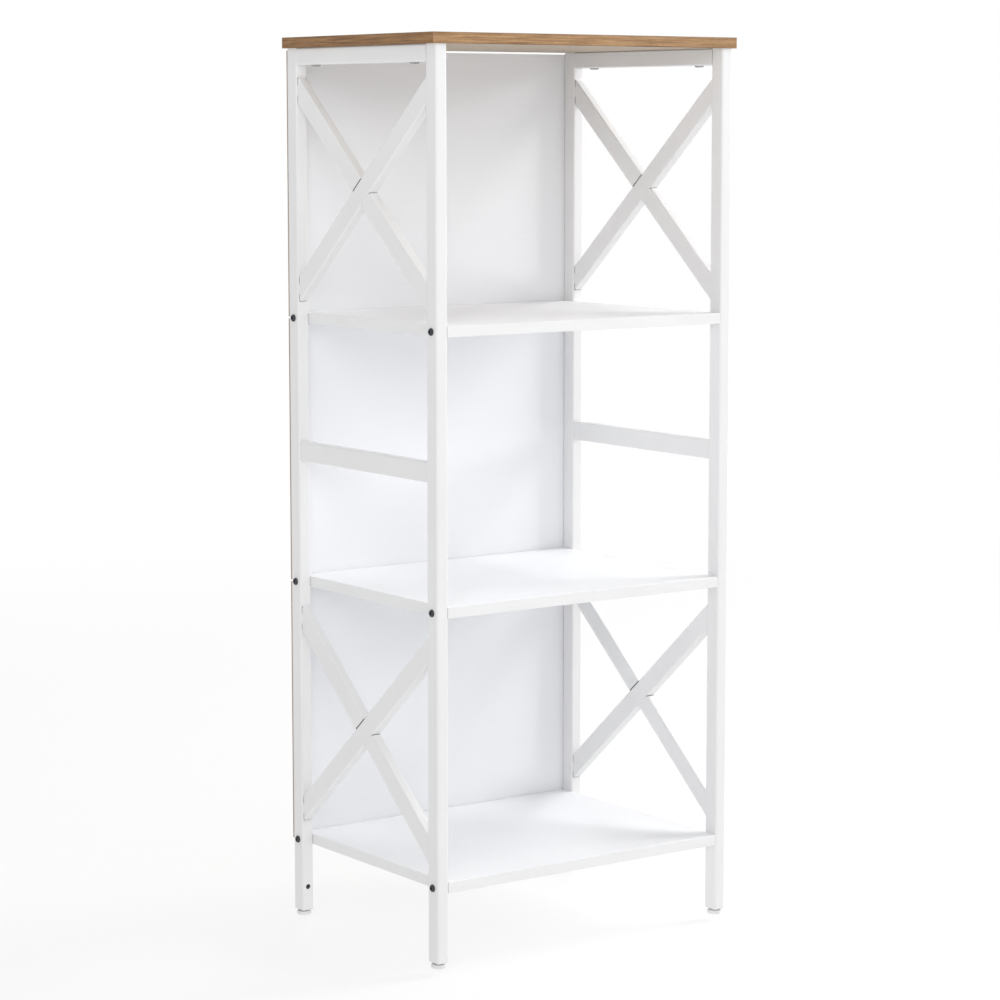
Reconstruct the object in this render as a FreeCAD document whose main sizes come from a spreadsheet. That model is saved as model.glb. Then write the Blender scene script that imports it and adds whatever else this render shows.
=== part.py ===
import FreeCAD, Part

import math
import os

import Sketcher

# Free-standing four-tier open bookshelf: two welded steel side frames, a wood-look
# top board, three white shelves, a back panel in three sections and four levelling
# feet.  Z is up, X runs across the width, the front faces -Y, and the origin is at
# the middle of the footprint on the floor.  All lengths are millimetres.

doc = FreeCAD.newDocument("open_bookshelf")

# --------------------------------------------------------------------------
# Driving dimensions
# --------------------------------------------------------------------------

DIMENSIONS = [
    ("frame_width", 538.0),          # across the outer faces of the side frames
    ("frame_depth", 392.0),          # front face of front leg to rear face of rear leg
    ("frame_front", -197.0),         # Y of the front faces of the front legs
    ("leg_width", 19.0),             # leg tube, across X
    ("leg_depth", 25.0),             # leg tube, along Y
    ("tube_wall", 1.2),
    ("tube_radius", 2.5),            # outside corner of every tube
    ("frame_top", 1326.0),           # upper end of the legs, under the top board
    ("leg_end", 10.0),               # lower end of the leg tube above the floor
    ("rail_height", 25.0),
    ("stretcher_width", 15.0),       # middle bar and braces, across X
    ("stretcher_height", 30.0),      # middle bar and braces, across their length
    ("stretcher_inset", 2.0),        # outer face of braces behind the leg's outer face
    ("middle_bar_centre", 722.5),
    ("brace_rise", 296.0),           # centre line height gained between the legs
    ("upper_cross", 1116.0),         # height of the upper crossing
    ("lower_cross", 318.0),          # height of the lower crossing
    ("cross_gap", 0.5),              # open seam where a half brace meets the full one
    ("cut_margin", 10.0),            # how far a cut runs on past the piece it opens
    ("board_thickness", 16.0),
    ("lower_shelf_bottom", 111.5),
    ("shelf_pitch", 402.0),
    ("top_width", 550.0),
    ("top_depth", 400.0),
    ("edge_band", 1.0),              # edge banding on the boards
    ("panel_width", 537.0),
    ("panel_thickness", 3.0),
    ("panel_gap", 3.0),              # joint between two back panels
    ("panel_screw_inset", 30.0),     # screws in from a panel's upper and lower edges
    ("bolt_hole", 6.5),
    ("bolt_shank", 5.9),
    ("bolt_head", 10.8),
    ("bolt_head_height", 3.3),
    ("bolt_length", 32.0),           # under the head
    ("bolt_rim", 0.6),               # height left at the edge of the head
    ("bolt_tip", 0.8),               # chamfer at the end of the shank
    ("hex_socket", 4.0),             # across flats
    ("socket_depth", 2.2),
    ("insert_outer", 9.0),
    ("insert_bore", 6.0),
    ("insert_length", 15.0),
    ("rail_screw_offset", 130.0),    # from the middle of the frame's depth
    ("rail_screw_hole", 4.6),
    ("rail_screw_shank", 4.2),
    ("rail_screw_head", 14.0),
    ("rail_screw_head_height", 2.6),
    ("rail_screw_length", 37.0),
    ("rail_screw_rim", 0.8),
    ("rail_screw_tip", 1.6),
    ("rail_recess_reach", 2.6),      # middle of the cross recess to the end of an arm
    ("rail_recess_half_width", 0.55),
    ("rail_recess_depth", 1.6),
    ("pilot_clearance", 1.0),        # pilot holes run on past the screw's tip
    ("panel_screw_hole", 3.2),
    ("panel_screw_shank", 3.0),
    ("panel_screw_head", 7.0),
    ("panel_screw_head_height", 1.8),
    ("panel_screw_length", 13.0),
    ("panel_screw_rim", 0.5),
    ("panel_screw_tip", 1.2),
    ("panel_recess_reach", 1.7),
    ("panel_recess_half_width", 0.4),
    ("panel_recess_depth", 1.2),
    ("vent_hole", 8.0),
    ("vent_height", 45.5),
    ("plug_flange", 1.5),
    ("plug_depth", 18.0),
    ("plug_clearance", 0.1),         # across the tube's bore
    ("foot_diameter", 22.0),
    ("foot_height", 6.2),
    ("foot_bevel", 1.6),             # around the sole
    ("foot_rim", 1.0),               # round of the pad's upper edge
    ("foot_base", 2.0),              # plastic under the stud
    ("collar_width", 13.0),          # hexagon across flats
    ("collar_top", 8.2),
    ("stud_diameter", 8.0),
    ("stud_clearance", 0.05),        # radial, stud to plug
    ("stud_top", 27.0),
]

sheet = doc.addObject("Spreadsheet::Sheet", "sheet")
for row, (alias, value) in enumerate(DIMENSIONS, start=1):
    sheet.set("A%d" % row, alias)
    sheet.set("B%d" % row, "%g" % value)
    sheet.setAlias("B%d" % row, alias)
doc.recompute()

# Expressions that several pieces share, in terms of the sheet.
LEG_X = "(sheet.frame_width / 2 - sheet.leg_width / 2)"
FRONT_LEG_Y = "(sheet.frame_front + sheet.leg_depth / 2)"
REAR_LEG_Y = "(sheet.frame_front + sheet.frame_depth - sheet.leg_depth / 2)"
FRAME_REAR = "(sheet.frame_front + sheet.frame_depth)"
MIDDLE_Y = "(sheet.frame_front + sheet.frame_depth / 2)"
SPAN = "(sheet.frame_depth - 2 * sheet.leg_depth)"
STRETCHER_X = "(sheet.frame_width / 2 - sheet.stretcher_inset - sheet.stretcher_width / 2)"
BRACE_SLOPE = "(sheet.brace_rise / %s)" % SPAN
BRACE_UPRIGHT = "(sheet.stretcher_height * sqrt(1 + %s ^ 2))" % BRACE_SLOPE
SHELF_LENGTH = "(sheet.frame_width - 2 * sheet.leg_width)"
SHELVES = ("lower", "middle", "upper")

pieces = []


def shelf_bottom(level):
    """Expression for the underside of shelf 0, 1 or 2, counted from the floor up."""
    return "(sheet.lower_shelf_bottom + %d * sheet.shelf_pitch)" % level


def shelf_middle(level):
    """Expression for the half-thickness height of a shelf."""
    return "(%s + sheet.board_thickness / 2)" % shelf_bottom(level)


# --------------------------------------------------------------------------
# Sketch and body helpers
# --------------------------------------------------------------------------

def new_body(name):
    """Start a body that becomes one exported piece."""
    body = doc.addObject("PartDesign::Body", name)
    body.Label = name
    pieces.append(body)
    return body


def place(body, x_expression, y_expression, z_expression):
    """Bind a body's position to the sheet."""
    body.setExpression(".Placement.Base.x", x_expression)
    body.setExpression(".Placement.Base.y", y_expression)
    body.setExpression(".Placement.Base.z", z_expression)


def add_sketch(body, name, plane, offset=None):
    """Add a sketch on one of the body's own origin planes."""
    sketch = body.newObject("Sketcher::SketchObject", name)
    for feature in body.Origin.OriginFeatures:
        if feature.Role == plane:
            sketch.AttachmentSupport = [(feature, "")]
    sketch.MapMode = "FlatFace"
    if offset is not None:
        sketch.setExpression(".AttachmentOffset.Base.z", offset)
    return sketch


def evaluate(expression):
    """Work out an expression of the sheet's cells as a number."""
    return float(sheet.evalExpression(expression))


def dimension(sketch, kind, geometry, expression):
    """Add one dimensional constraint and bind it to the sheet."""
    start = evaluate(expression)
    index = sketch.addConstraint(Sketcher.Constraint(kind, *geometry, start))
    sketch.setExpression("Constraints[%d]" % index, expression)


def add_rounded_rectangle(sketch, width, depth, radius):
    """Draw a rectangle with round corners, centred on the sketch's origin."""
    half_x = evaluate(width) / 2
    half_y = evaluate(depth) / 2
    r = evaluate(radius)
    first = sketch.GeometryCount
    corners = [
        (half_x, -half_y, -90),
        (half_x, half_y, 0),
        (-half_x, half_y, 90),
        (-half_x, -half_y, 180),
    ]
    ends = [
        ((-half_x + r, -half_y), (half_x - r, -half_y)),
        ((half_x, -half_y + r), (half_x, half_y - r)),
        ((half_x - r, half_y), (-half_x + r, half_y)),
        ((-half_x, half_y - r), (-half_x, -half_y + r)),
    ]
    for (start, end), (cx, cy, angle) in zip(ends, corners):
        a = FreeCAD.Vector(start[0], start[1], 0)
        b = FreeCAD.Vector(end[0], end[1], 0)
        sketch.addGeometry(Part.LineSegment(a, b), False)
        centre = FreeCAD.Vector(cx - math.copysign(r, cx), cy - math.copysign(r, cy), 0)
        circle = Part.Circle(centre, FreeCAD.Vector(0, 0, 1), r)
        arc = Part.ArcOfCircle(circle, math.radians(angle), math.radians(angle + 90))
        sketch.addGeometry(arc, False)
    for side in range(4):
        line = first + 2 * side
        arc = line + 1
        following = first + (2 * side + 2) % 8
        sketch.addConstraint(Sketcher.Constraint("Tangent", line, 2, arc, 1))
        sketch.addConstraint(Sketcher.Constraint("Tangent", arc, 2, following, 1))
    sketch.addConstraint(Sketcher.Constraint("Horizontal", first))
    sketch.addConstraint(Sketcher.Constraint("Horizontal", first + 4))
    sketch.addConstraint(Sketcher.Constraint("Vertical", first + 2))
    sketch.addConstraint(Sketcher.Constraint("Vertical", first + 6))
    for arc in (3, 5, 7):
        sketch.addConstraint(Sketcher.Constraint("Equal", first + 1, first + arc))
    sketch.addConstraint(Sketcher.Constraint("Symmetric", first + 1, 3, first + 5, 3, -1, 1))
    dimension(sketch, "Radius", (first + 1,), radius)
    dimension(sketch, "DistanceX", (first + 6, 1, first + 2, 1), width)
    dimension(sketch, "DistanceY", (first, 1, first + 4, 1), depth)


def pin_point(sketch, geometry, vertex, x, y):
    """Fix one point of the sketch at a place given by two expressions."""
    if x == "0":
        sketch.addConstraint(Sketcher.Constraint("PointOnObject", geometry, vertex, -2))
    else:
        dimension(sketch, "DistanceX", (-1, 1, geometry, vertex), x)
    if y == "0":
        sketch.addConstraint(Sketcher.Constraint("PointOnObject", geometry, vertex, -1))
    else:
        dimension(sketch, "DistanceY", (-1, 1, geometry, vertex), y)


def add_circle(sketch, x, y, diameter):
    """Draw a circle whose centre and diameter are expressions."""
    centre = FreeCAD.Vector(evaluate(x), evaluate(y), 0)
    circle = Part.Circle(centre, FreeCAD.Vector(0, 0, 1), evaluate(diameter) / 2)
    index = sketch.addGeometry(circle, False)
    dimension(sketch, "Diameter", (index,), diameter)
    pin_point(sketch, index, 3, x, y)


def add_polygon(sketch, corners):
    """Draw a closed polygon; each corner is a pair of expressions."""
    numbers = [(evaluate(x), evaluate(y)) for x, y in corners]
    first = sketch.GeometryCount
    count = len(corners)
    for i in range(count):
        a = FreeCAD.Vector(numbers[i][0], numbers[i][1], 0)
        b = FreeCAD.Vector(numbers[(i + 1) % count][0], numbers[(i + 1) % count][1], 0)
        sketch.addGeometry(Part.LineSegment(a, b), False)
    for i in range(count):
        following = first + (i + 1) % count
        sketch.addConstraint(Sketcher.Constraint("Coincident", first + i, 2, following, 1))
    for i in range(count):
        pin_point(sketch, first + i, 1, *corners[i])


def pad(body, sketch, length, symmetric=False, reverse=False):
    """Pad a sketch by a length that follows the sheet."""
    feature = body.newObject("PartDesign::Pad", body.Name + "_pad")
    feature.Profile = sketch
    feature.setExpression("Length", length)
    feature.Midplane = symmetric
    feature.Reversed = reverse
    sketch.Visibility = False
    return feature


def cut(body, sketch, length, symmetric=False, reverse=False):
    """Pocket a sketch by a length that follows the sheet."""
    feature = body.newObject("PartDesign::Pocket", body.Name + "_cut")
    feature.Profile = sketch
    feature.setExpression("Length", length)
    feature.Midplane = symmetric
    feature.Reversed = reverse
    sketch.Visibility = False
    return feature


def revolve(body, sketch):
    """Turn a profile about the sketch's upright axis into a solid."""
    feature = body.newObject("PartDesign::Revolution", body.Name + "_turn")
    feature.Profile = sketch
    feature.ReferenceAxis = (sketch, ["V_Axis"])
    feature.Angle = 360.0
    sketch.Visibility = False
    return feature


def fillet(body, base, edges, radius):
    """Round the named edges of the body's last feature."""
    feature = body.newObject("PartDesign::Fillet", body.Name + "_fillet")
    feature.Base = (base, edges)
    feature.setExpression("Radius", radius)
    return feature


def edges_along(shape, direction):
    """Names of the straight edges that run along a direction."""
    names = []
    for number, edge in enumerate(shape.Edges, start=1):
        run = edge.Vertexes[-1].Point - edge.Vertexes[0].Point
        if run.Length > 0 and run.cross(direction).Length < 1e-4 * run.Length:
            names.append("Edge%d" % number)
    return names


def circles_at(shape, radius, height):
    """Names of the circular edges of a given radius at a given height."""
    names = []
    for number, edge in enumerate(shape.Edges, start=1):
        curve = edge.Curve
        if not isinstance(curve, Part.Circle):
            continue
        if abs(curve.Radius - radius) < 1e-3 and abs(curve.Center.z - height) < 1e-3:
            names.append("Edge%d" % number)
    return names


# --------------------------------------------------------------------------
# Side frames: tubes welded into a ladder with two crosses
# --------------------------------------------------------------------------

def tube_profile(sketch, width, depth):
    """Draw a tube's section: its outside and, one wall inside it, its bore."""
    add_rounded_rectangle(sketch, width, depth, "sheet.tube_radius")
    walls = " - 2 * sheet.tube_wall"
    add_rounded_rectangle(sketch, width + walls, depth + walls, "sheet.tube_radius - sheet.tube_wall")


def build_leg(name, side, rear):
    """One leg: upright tube with bolt holes, a vent hole and, at the rear, screw holes."""
    body = new_body(name)
    section = add_sketch(body, name + "_section", "XY_Plane")
    tube_profile(section, "sheet.leg_width", "sheet.leg_depth")
    pad(body, section, "sheet.frame_top - sheet.leg_end")
    bolts = add_sketch(body, name + "_bolts", "YZ_Plane")
    for level in range(len(SHELVES)):
        add_circle(bolts, "0", shelf_middle(level) + " - sheet.leg_end", "sheet.bolt_hole")
    cut(body, bolts, "sheet.leg_width + sheet.cut_margin", symmetric=True)
    vent = add_sketch(body, name + "_vent", "XZ_Plane")
    add_circle(vent, "0", "sheet.vent_height - sheet.leg_end", "sheet.vent_hole")
    cut(body, vent, "sheet.leg_depth", reverse=rear)
    if rear:
        screws = add_sketch(body, name + "_screws", "XZ_Plane")
        for height in panel_screw_heights():
            add_circle(screws, "0", height + " - sheet.leg_end", "sheet.panel_screw_hole")
        cut(body, screws, "sheet.leg_depth")
    place(body, "%d * %s" % (side, LEG_X), REAR_LEG_Y if rear else FRONT_LEG_Y, "sheet.leg_end")


def build_top_rail(name, side):
    """Rail between the leg tops, drilled for the two screws into the top board."""
    body = new_body(name)
    section = add_sketch(body, name + "_section", "XZ_Plane")
    tube_profile(section, "sheet.leg_width", "sheet.rail_height")
    pad(body, section, SPAN, symmetric=True)
    screws = add_sketch(body, name + "_screws", "XY_Plane")
    for end in (-1, 1):
        add_circle(screws, "0", "%d * sheet.rail_screw_offset" % end, "sheet.rail_screw_hole")
    cut(body, screws, "sheet.rail_height + sheet.cut_margin", symmetric=True)
    place(body, "%d * %s" % (side, LEG_X), MIDDLE_Y, "sheet.frame_top - sheet.rail_height / 2")


def build_middle_bar(name, side):
    """Level bar half way up the middle bay."""
    body = new_body(name)
    section = add_sketch(body, name + "_section", "XZ_Plane")
    tube_profile(section, "sheet.stretcher_width", "sheet.stretcher_height")
    pad(body, section, SPAN, symmetric=True)
    place(body, "%d * %s" % (side, STRETCHER_X), MIDDLE_Y, "sheet.middle_bar_centre")


def build_brace(name, side, centre, rise_sign, outline):
    """A brace of rectangular tube: outline in the side plane, round edges, open bore."""
    body = new_body(name)
    shape_sketch = add_sketch(body, name + "_outline", "YZ_Plane")
    add_polygon(shape_sketch, outline)
    blank = pad(body, shape_sketch, "sheet.stretcher_width", symmetric=True)
    doc.recompute()
    direction = FreeCAD.Vector(0, 1, rise_sign * evaluate(BRACE_SLOPE))
    rounded = fillet(body, blank, edges_along(blank.Shape, direction), "sheet.tube_radius")
    bore_sketch = add_sketch(body, name + "_bore", "YZ_Plane")
    reach = "(%s / 2 + sheet.cut_margin)" % SPAN
    half_bore = "(%s * (1 - 2 * sheet.tube_wall / sheet.stretcher_height) / 2)" % BRACE_UPRIGHT
    slope = "(%d * %s)" % (rise_sign, BRACE_SLOPE)
    bore = [
        ("-1 * %s" % reach, "-1 * %s * %s - %s" % (slope, reach, half_bore)),
        (reach, "%s * %s - %s" % (slope, reach, half_bore)),
        (reach, "%s * %s + %s" % (slope, reach, half_bore)),
        ("-1 * %s" % reach, "-1 * %s * %s + %s" % (slope, reach, half_bore)),
    ]
    add_polygon(bore_sketch, bore)
    cut(body, bore_sketch, "sheet.stretcher_width - 2 * sheet.tube_wall", symmetric=True)
    place(body, "%d * %s" % (side, STRETCHER_X), MIDDLE_Y, centre)
    doc.recompute()
    if not body.Shape.Volume < rounded.Shape.Volume:
        raise RuntimeError(name + " has no bore")


def full_brace_outline():
    """Brace from low on the rear leg to high on the front leg; Y is positive to the rear."""
    end = "(%s / 2)" % SPAN
    rise = "(sheet.brace_rise / 2)"
    half = "(%s / 2)" % BRACE_UPRIGHT
    return [
        ("-1 * " + end, "%s - %s" % (rise, half)),
        (end, "-1 * %s - %s" % (rise, half)),
        (end, "-1 * %s + %s" % (rise, half)),
        ("-1 * " + end, "%s + %s" % (rise, half)),
    ]


def half_brace_outline(sign):
    """Half brace: sign 1 runs up to the rear leg, -1 runs down to the front leg."""
    end = "(%s / 2)" % SPAN
    rise = "(sheet.brace_rise / 2)"
    upright = BRACE_UPRIGHT
    seam = "(sheet.cross_gap * sqrt(1 + %s ^ 2))" % BRACE_SLOPE
    near = ("%s / (2 * %s)" % (seam, BRACE_SLOPE), "(%s + %s) / 2" % (upright, seam))
    far = ("(%s + %s) / (2 * %s)" % (upright, seam, BRACE_SLOPE), "%s / 2" % seam)
    corners = [
        near,
        far,
        (end, "%s - %s / 2" % (rise, upright)),
        (end, "%s + %s / 2" % (rise, upright)),
    ]
    return [("%d * (%s)" % (sign, y), "%d * (%s)" % (sign, z)) for y, z in corners]


def build_side_frame(prefix, side):
    """All the tubes of one side frame."""
    build_leg(prefix + "_front_leg", side, rear=False)
    build_leg(prefix + "_rear_leg", side, rear=True)
    build_top_rail(prefix + "_top_rail", side)
    build_middle_bar(prefix + "_middle_bar", side)
    for bay in ("upper", "lower"):
        centre = "sheet.%s_cross" % bay
        base = "%s_%s_brace" % (prefix, bay)
        build_brace(base, side, centre, -1, full_brace_outline())
        build_brace(base + "_rear_half", side, centre, 1, half_brace_outline(1))
        build_brace(base + "_front_half", side, centre, 1, half_brace_outline(-1))


# --------------------------------------------------------------------------
# Boards, edge bands and back panels
# --------------------------------------------------------------------------

def rectangle_outline(width, depth):
    """Corners of a rectangle centred on the sketch's origin."""
    half_x = "(%s) / 2" % width
    half_y = "(%s) / 2" % depth
    return [
        ("-1 * " + half_x, "-1 * " + half_y),
        (half_x, "-1 * " + half_y),
        (half_x, half_y),
        ("-1 * " + half_x, half_y),
    ]


def build_slab(name, width, depth, height, position):
    """A plain rectangular board; position gives the middle of its underside."""
    body = new_body(name)
    outline = add_sketch(body, name + "_outline", "XY_Plane")
    add_polygon(outline, rectangle_outline(width, depth))
    pad(body, outline, height)
    place(body, *position)
    return body


def build_shelf(level):
    """A shelf board with a blind hole for an insert in each corner of its ends."""
    name = SHELVES[level] + "_shelf"
    bottom = shelf_bottom(level)
    depth = "sheet.frame_depth - 2 * sheet.edge_band"
    body = build_slab(name, SHELF_LENGTH, depth, "sheet.board_thickness", ("0", MIDDLE_Y, bottom))
    for side in (-1, 1):
        end_face = "%d * %s / 2" % (side, SHELF_LENGTH)
        holes = add_sketch(body, "%s_holes_%d" % (name, side + 1), "YZ_Plane", end_face)
        for leg in (-1, 1):
            y = "%d * (sheet.frame_depth - sheet.leg_depth) / 2" % leg
            add_circle(holes, y, "sheet.board_thickness / 2", "sheet.insert_outer")
        cut(body, holes, "sheet.insert_length", reverse=side < 0)
    for end, place_name in ((-1, "front"), (1, "rear")):
        y = "%s + %d * (sheet.frame_depth - sheet.edge_band) / 2" % (MIDDLE_Y, end)
        band = "%s_%s_band" % (name, place_name)
        build_slab(band, SHELF_LENGTH, "sheet.edge_band", "sheet.board_thickness", ("0", y, bottom))


def build_top_board():
    """Top board with pilot holes underneath, and the bands on its four edges."""
    core_width = "sheet.top_width - 2 * sheet.edge_band"
    core_depth = "sheet.top_depth - 2 * sheet.edge_band"
    height = "sheet.board_thickness"
    body = build_slab("top_board", core_width, core_depth, height, ("0", "0", "sheet.frame_top"))
    pilots = add_sketch(body, "top_board_pilots", "XY_Plane")
    for side in (-1, 1):
        for end in (-1, 1):
            y = "%s + %d * sheet.rail_screw_offset" % (MIDDLE_Y, end)
            add_circle(pilots, "%d * %s" % (side, LEG_X), y, "sheet.rail_screw_hole")
    pilot_depth = "sheet.rail_screw_length - sheet.rail_height + sheet.pilot_clearance"
    cut(body, pilots, pilot_depth, reverse=True)
    for end, edge in ((-1, "front"), (1, "rear")):
        y = "%d * (sheet.top_depth - sheet.edge_band) / 2" % end
        position = ("0", y, "sheet.frame_top")
        build_slab("top_%s_edge_band" % edge, "sheet.top_width", "sheet.edge_band", height, position)
    for side, edge in ((-1, "left"), (1, "right")):
        x = "%d * (sheet.top_width - sheet.edge_band) / 2" % side
        position = (x, "0", "sheet.frame_top")
        build_slab("top_%s_edge_band" % edge, "sheet.edge_band", core_depth, height, position)


def panel_limits(level):
    """Lower and upper edge of a back panel."""
    lower = shelf_middle(level)
    if level > 0:
        lower = "(%s + sheet.panel_gap / 2)" % lower
    upper = "(sheet.frame_top - sheet.panel_gap)"
    if level < len(SHELVES) - 1:
        upper = "(%s - sheet.panel_gap / 2)" % shelf_middle(level + 1)
    return lower, upper


def panel_screw_heights():
    """Heights of the screws that hold the back panels to the rear legs."""
    heights = []
    for level in range(len(SHELVES)):
        lower, upper = panel_limits(level)
        heights.append("(%s + sheet.panel_screw_inset)" % lower)
        heights.append("(%s - sheet.panel_screw_inset)" % upper)
    return heights


def build_back_panel(level):
    """A thin board behind the rear legs, with a screw hole near each corner."""
    name = "back_panel_" + SHELVES[level]
    lower, upper = panel_limits(level)
    body = new_body(name)
    outline = add_sketch(body, name + "_outline", "XZ_Plane")
    add_polygon(outline, rectangle_outline("sheet.panel_width", "%s - %s" % (upper, lower)))
    pad(body, outline, "sheet.panel_thickness", reverse=True)
    screws = add_sketch(body, name + "_screws", "XZ_Plane")
    for side in (-1, 1):
        for end in (-1, 1):
            z = "%d * ((%s - %s) / 2 - sheet.panel_screw_inset)" % (end, upper, lower)
            add_circle(screws, "%d * %s" % (side, LEG_X), z, "sheet.panel_screw_hole")
    cut(body, screws, "sheet.panel_thickness + sheet.cut_margin")
    place(body, "0", FRAME_REAR, "(%s + %s) / 2" % (lower, upper))


# --------------------------------------------------------------------------
# Fasteners.  Each is drawn with its head on top of z = 0 and its shank below.
# --------------------------------------------------------------------------

def fastener_body(name, key):
    """Turn a fastener with a domed head; key starts its dimensions' names in the sheet."""
    body = doc.addObject("PartDesign::Body", name)
    head = "sheet.%s_head / 2" % key
    height = "sheet.%s_head_height" % key
    shank = "sheet.%s_shank / 2" % key
    length = "sheet.%s_length" % key
    tip = "sheet.%s_tip" % key
    profile = add_sketch(body, name + "_profile", "XZ_Plane")
    outline = [
        ("0", "-1 * " + length),
        ("%s - %s" % (shank, tip), "-1 * " + length),
        (shank, "-1 * %s + %s" % (length, tip)),
        (shank, "0"),
        (head, "0"),
        (head, height),
        ("0", height),
    ]
    add_polygon(profile, outline)
    turned = revolve(body, profile)
    doc.recompute()
    rim_edges = circles_at(turned.Shape, evaluate(head), evaluate(height))
    fillet(body, turned, rim_edges, "%s - sheet.%s_rim" % (height, key))
    return body


def hexagon(across_flats):
    """Corners of a hexagon of a given width across flats."""
    corner = "%s / sqrt(3)" % across_flats
    return [
        ("%s * cos(%d deg)" % (corner, angle), "%s * sin(%d deg)" % (corner, angle))
        for angle in range(30, 390, 60)
    ]


def cross_recess(key):
    """Corners of a cross-shaped driver recess; key starts its dimensions' names."""
    arm = "sheet.%s_recess_reach" % key
    half = "sheet.%s_recess_half_width" % key
    back_arm = "-1 * " + arm
    back_half = "-1 * " + half
    return [
        (arm, back_half), (arm, half), (half, half), (half, arm),
        (back_half, arm), (back_half, half), (back_arm, half), (back_arm, back_half),
        (back_half, back_half), (back_half, back_arm), (half, back_arm), (half, back_half),
    ]


def cut_recess(body, outline, height, depth):
    """Sink a driver recess into the top of a fastener's head."""
    sketch = add_sketch(body, body.Name + "_recess", "XY_Plane", height)
    add_polygon(sketch, outline)
    cut(body, sketch, depth)


def build_bolt(name):
    """M6 button-head bolt with a hexagon socket."""
    body = fastener_body(name, "bolt")
    cut_recess(body, hexagon("sheet.hex_socket"), "sheet.bolt_head_height", "sheet.socket_depth")
    return body


def build_rail_screw(name):
    """Truss-head screw that pulls the top board down on the rail."""
    body = fastener_body(name, "rail_screw")
    cut_recess(body, cross_recess("rail"), "sheet.rail_screw_head_height", "sheet.rail_recess_depth")
    return body


def build_panel_screw(name):
    """Small pan-head screw that holds a back panel."""
    body = fastener_body(name, "panel_screw")
    top = "sheet.panel_screw_head_height"
    cut_recess(body, cross_recess("panel"), top, "sheet.panel_recess_depth")
    return body


def build_insert(name):
    """Threaded insert in a shelf's end; its mouth is at z = 0 and it runs down."""
    body = doc.addObject("PartDesign::Body", name)
    section = add_sketch(body, name + "_section", "XY_Plane")
    add_circle(section, "0", "0", "sheet.insert_outer")
    add_circle(section, "0", "0", "sheet.insert_bore")
    pad(body, section, "sheet.insert_length", reverse=True)
    return body


def group(name, members):
    """Gather identical fasteners into one exported piece."""
    compound = doc.addObject("Part::Compound", name)
    compound.Label = name
    compound.Links = members
    pieces.append(compound)


def outward(side):
    """Rotation that points a fastener's head along -X or +X."""
    return FreeCAD.Rotation(FreeCAD.Vector(0, 1, 0), 90 * side)


def build_shelf_fixings(level):
    """The four bolts and four inserts of one shelf."""
    bolts = []
    inserts = []
    for side, side_name in ((-1, "left"), (1, "right")):
        for leg_y, leg_name in ((FRONT_LEG_Y, "front"), (REAR_LEG_Y, "rear")):
            tag = "%s_%s_%s" % (SHELVES[level], side_name, leg_name)
            bolt = build_bolt("bolt_" + tag)
            bolt.Placement.Rotation = outward(side)
            place(bolt, "%d * sheet.frame_width / 2" % side, leg_y, shelf_middle(level))
            bolts.append(bolt)
            insert = build_insert("insert_" + tag)
            insert.Placement.Rotation = outward(side)
            place(insert, "%d * %s / 2" % (side, SHELF_LENGTH), leg_y, shelf_middle(level))
            inserts.append(insert)
    group(SHELVES[level] + "_shelf_bolts", bolts)
    group(SHELVES[level] + "_shelf_inserts", inserts)


def build_top_board_screws():
    """Four screws up through the rails into the top board."""
    screws = []
    for side, side_name in ((-1, "left"), (1, "right")):
        for end, end_name in ((-1, "front"), (1, "rear")):
            screw = build_rail_screw("rail_screw_%s_%s" % (side_name, end_name))
            screw.Placement.Rotation = FreeCAD.Rotation(FreeCAD.Vector(1, 0, 0), 180)
            y = "%s + %d * sheet.rail_screw_offset" % (MIDDLE_Y, end)
            place(screw, "%d * %s" % (side, LEG_X), y, "sheet.frame_top - sheet.rail_height")
            screws.append(screw)
    group("top_board_screws", screws)


def build_back_panel_screws():
    """Screws through the back panels into the rear legs."""
    screws = []
    for side in (-1, 1):
        for number, height in enumerate(panel_screw_heights()):
            screw = build_panel_screw("panel_screw_%d_%d" % (side + 1, number))
            screw.Placement.Rotation = FreeCAD.Rotation(FreeCAD.Vector(1, 0, 0), -90)
            y = "%s + sheet.panel_thickness" % FRAME_REAR
            place(screw, "%d * %s" % (side, LEG_X), y, height)
            screws.append(screw)
    group("back_panel_screws", screws)


# --------------------------------------------------------------------------
# Levelling feet
# --------------------------------------------------------------------------

def build_leg_plug(name, x, y):
    """Threaded end plug: a flange under the tube and a body inside it."""
    body = new_body(name)
    flange = add_sketch(body, name + "_flange", "XY_Plane")
    add_rounded_rectangle(flange, "sheet.leg_width", "sheet.leg_depth", "sheet.tube_radius")
    pad(body, flange, "sheet.plug_flange")
    core = add_sketch(body, name + "_core", "XY_Plane", "sheet.plug_flange")
    width = "sheet.leg_width - 2 * sheet.tube_wall - sheet.plug_clearance"
    depth = "sheet.leg_depth - 2 * sheet.tube_wall - sheet.plug_clearance"
    add_rounded_rectangle(core, width, depth, "sheet.tube_radius - sheet.tube_wall")
    pad(body, core, "sheet.plug_depth - sheet.plug_flange")
    bore = add_sketch(body, name + "_bore", "XY_Plane")
    add_circle(bore, "0", "0", "sheet.stud_diameter")
    cut(body, bore, "sheet.plug_depth + sheet.cut_margin", reverse=True)
    place(body, x, y, "sheet.leg_end - sheet.plug_flange")


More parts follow.
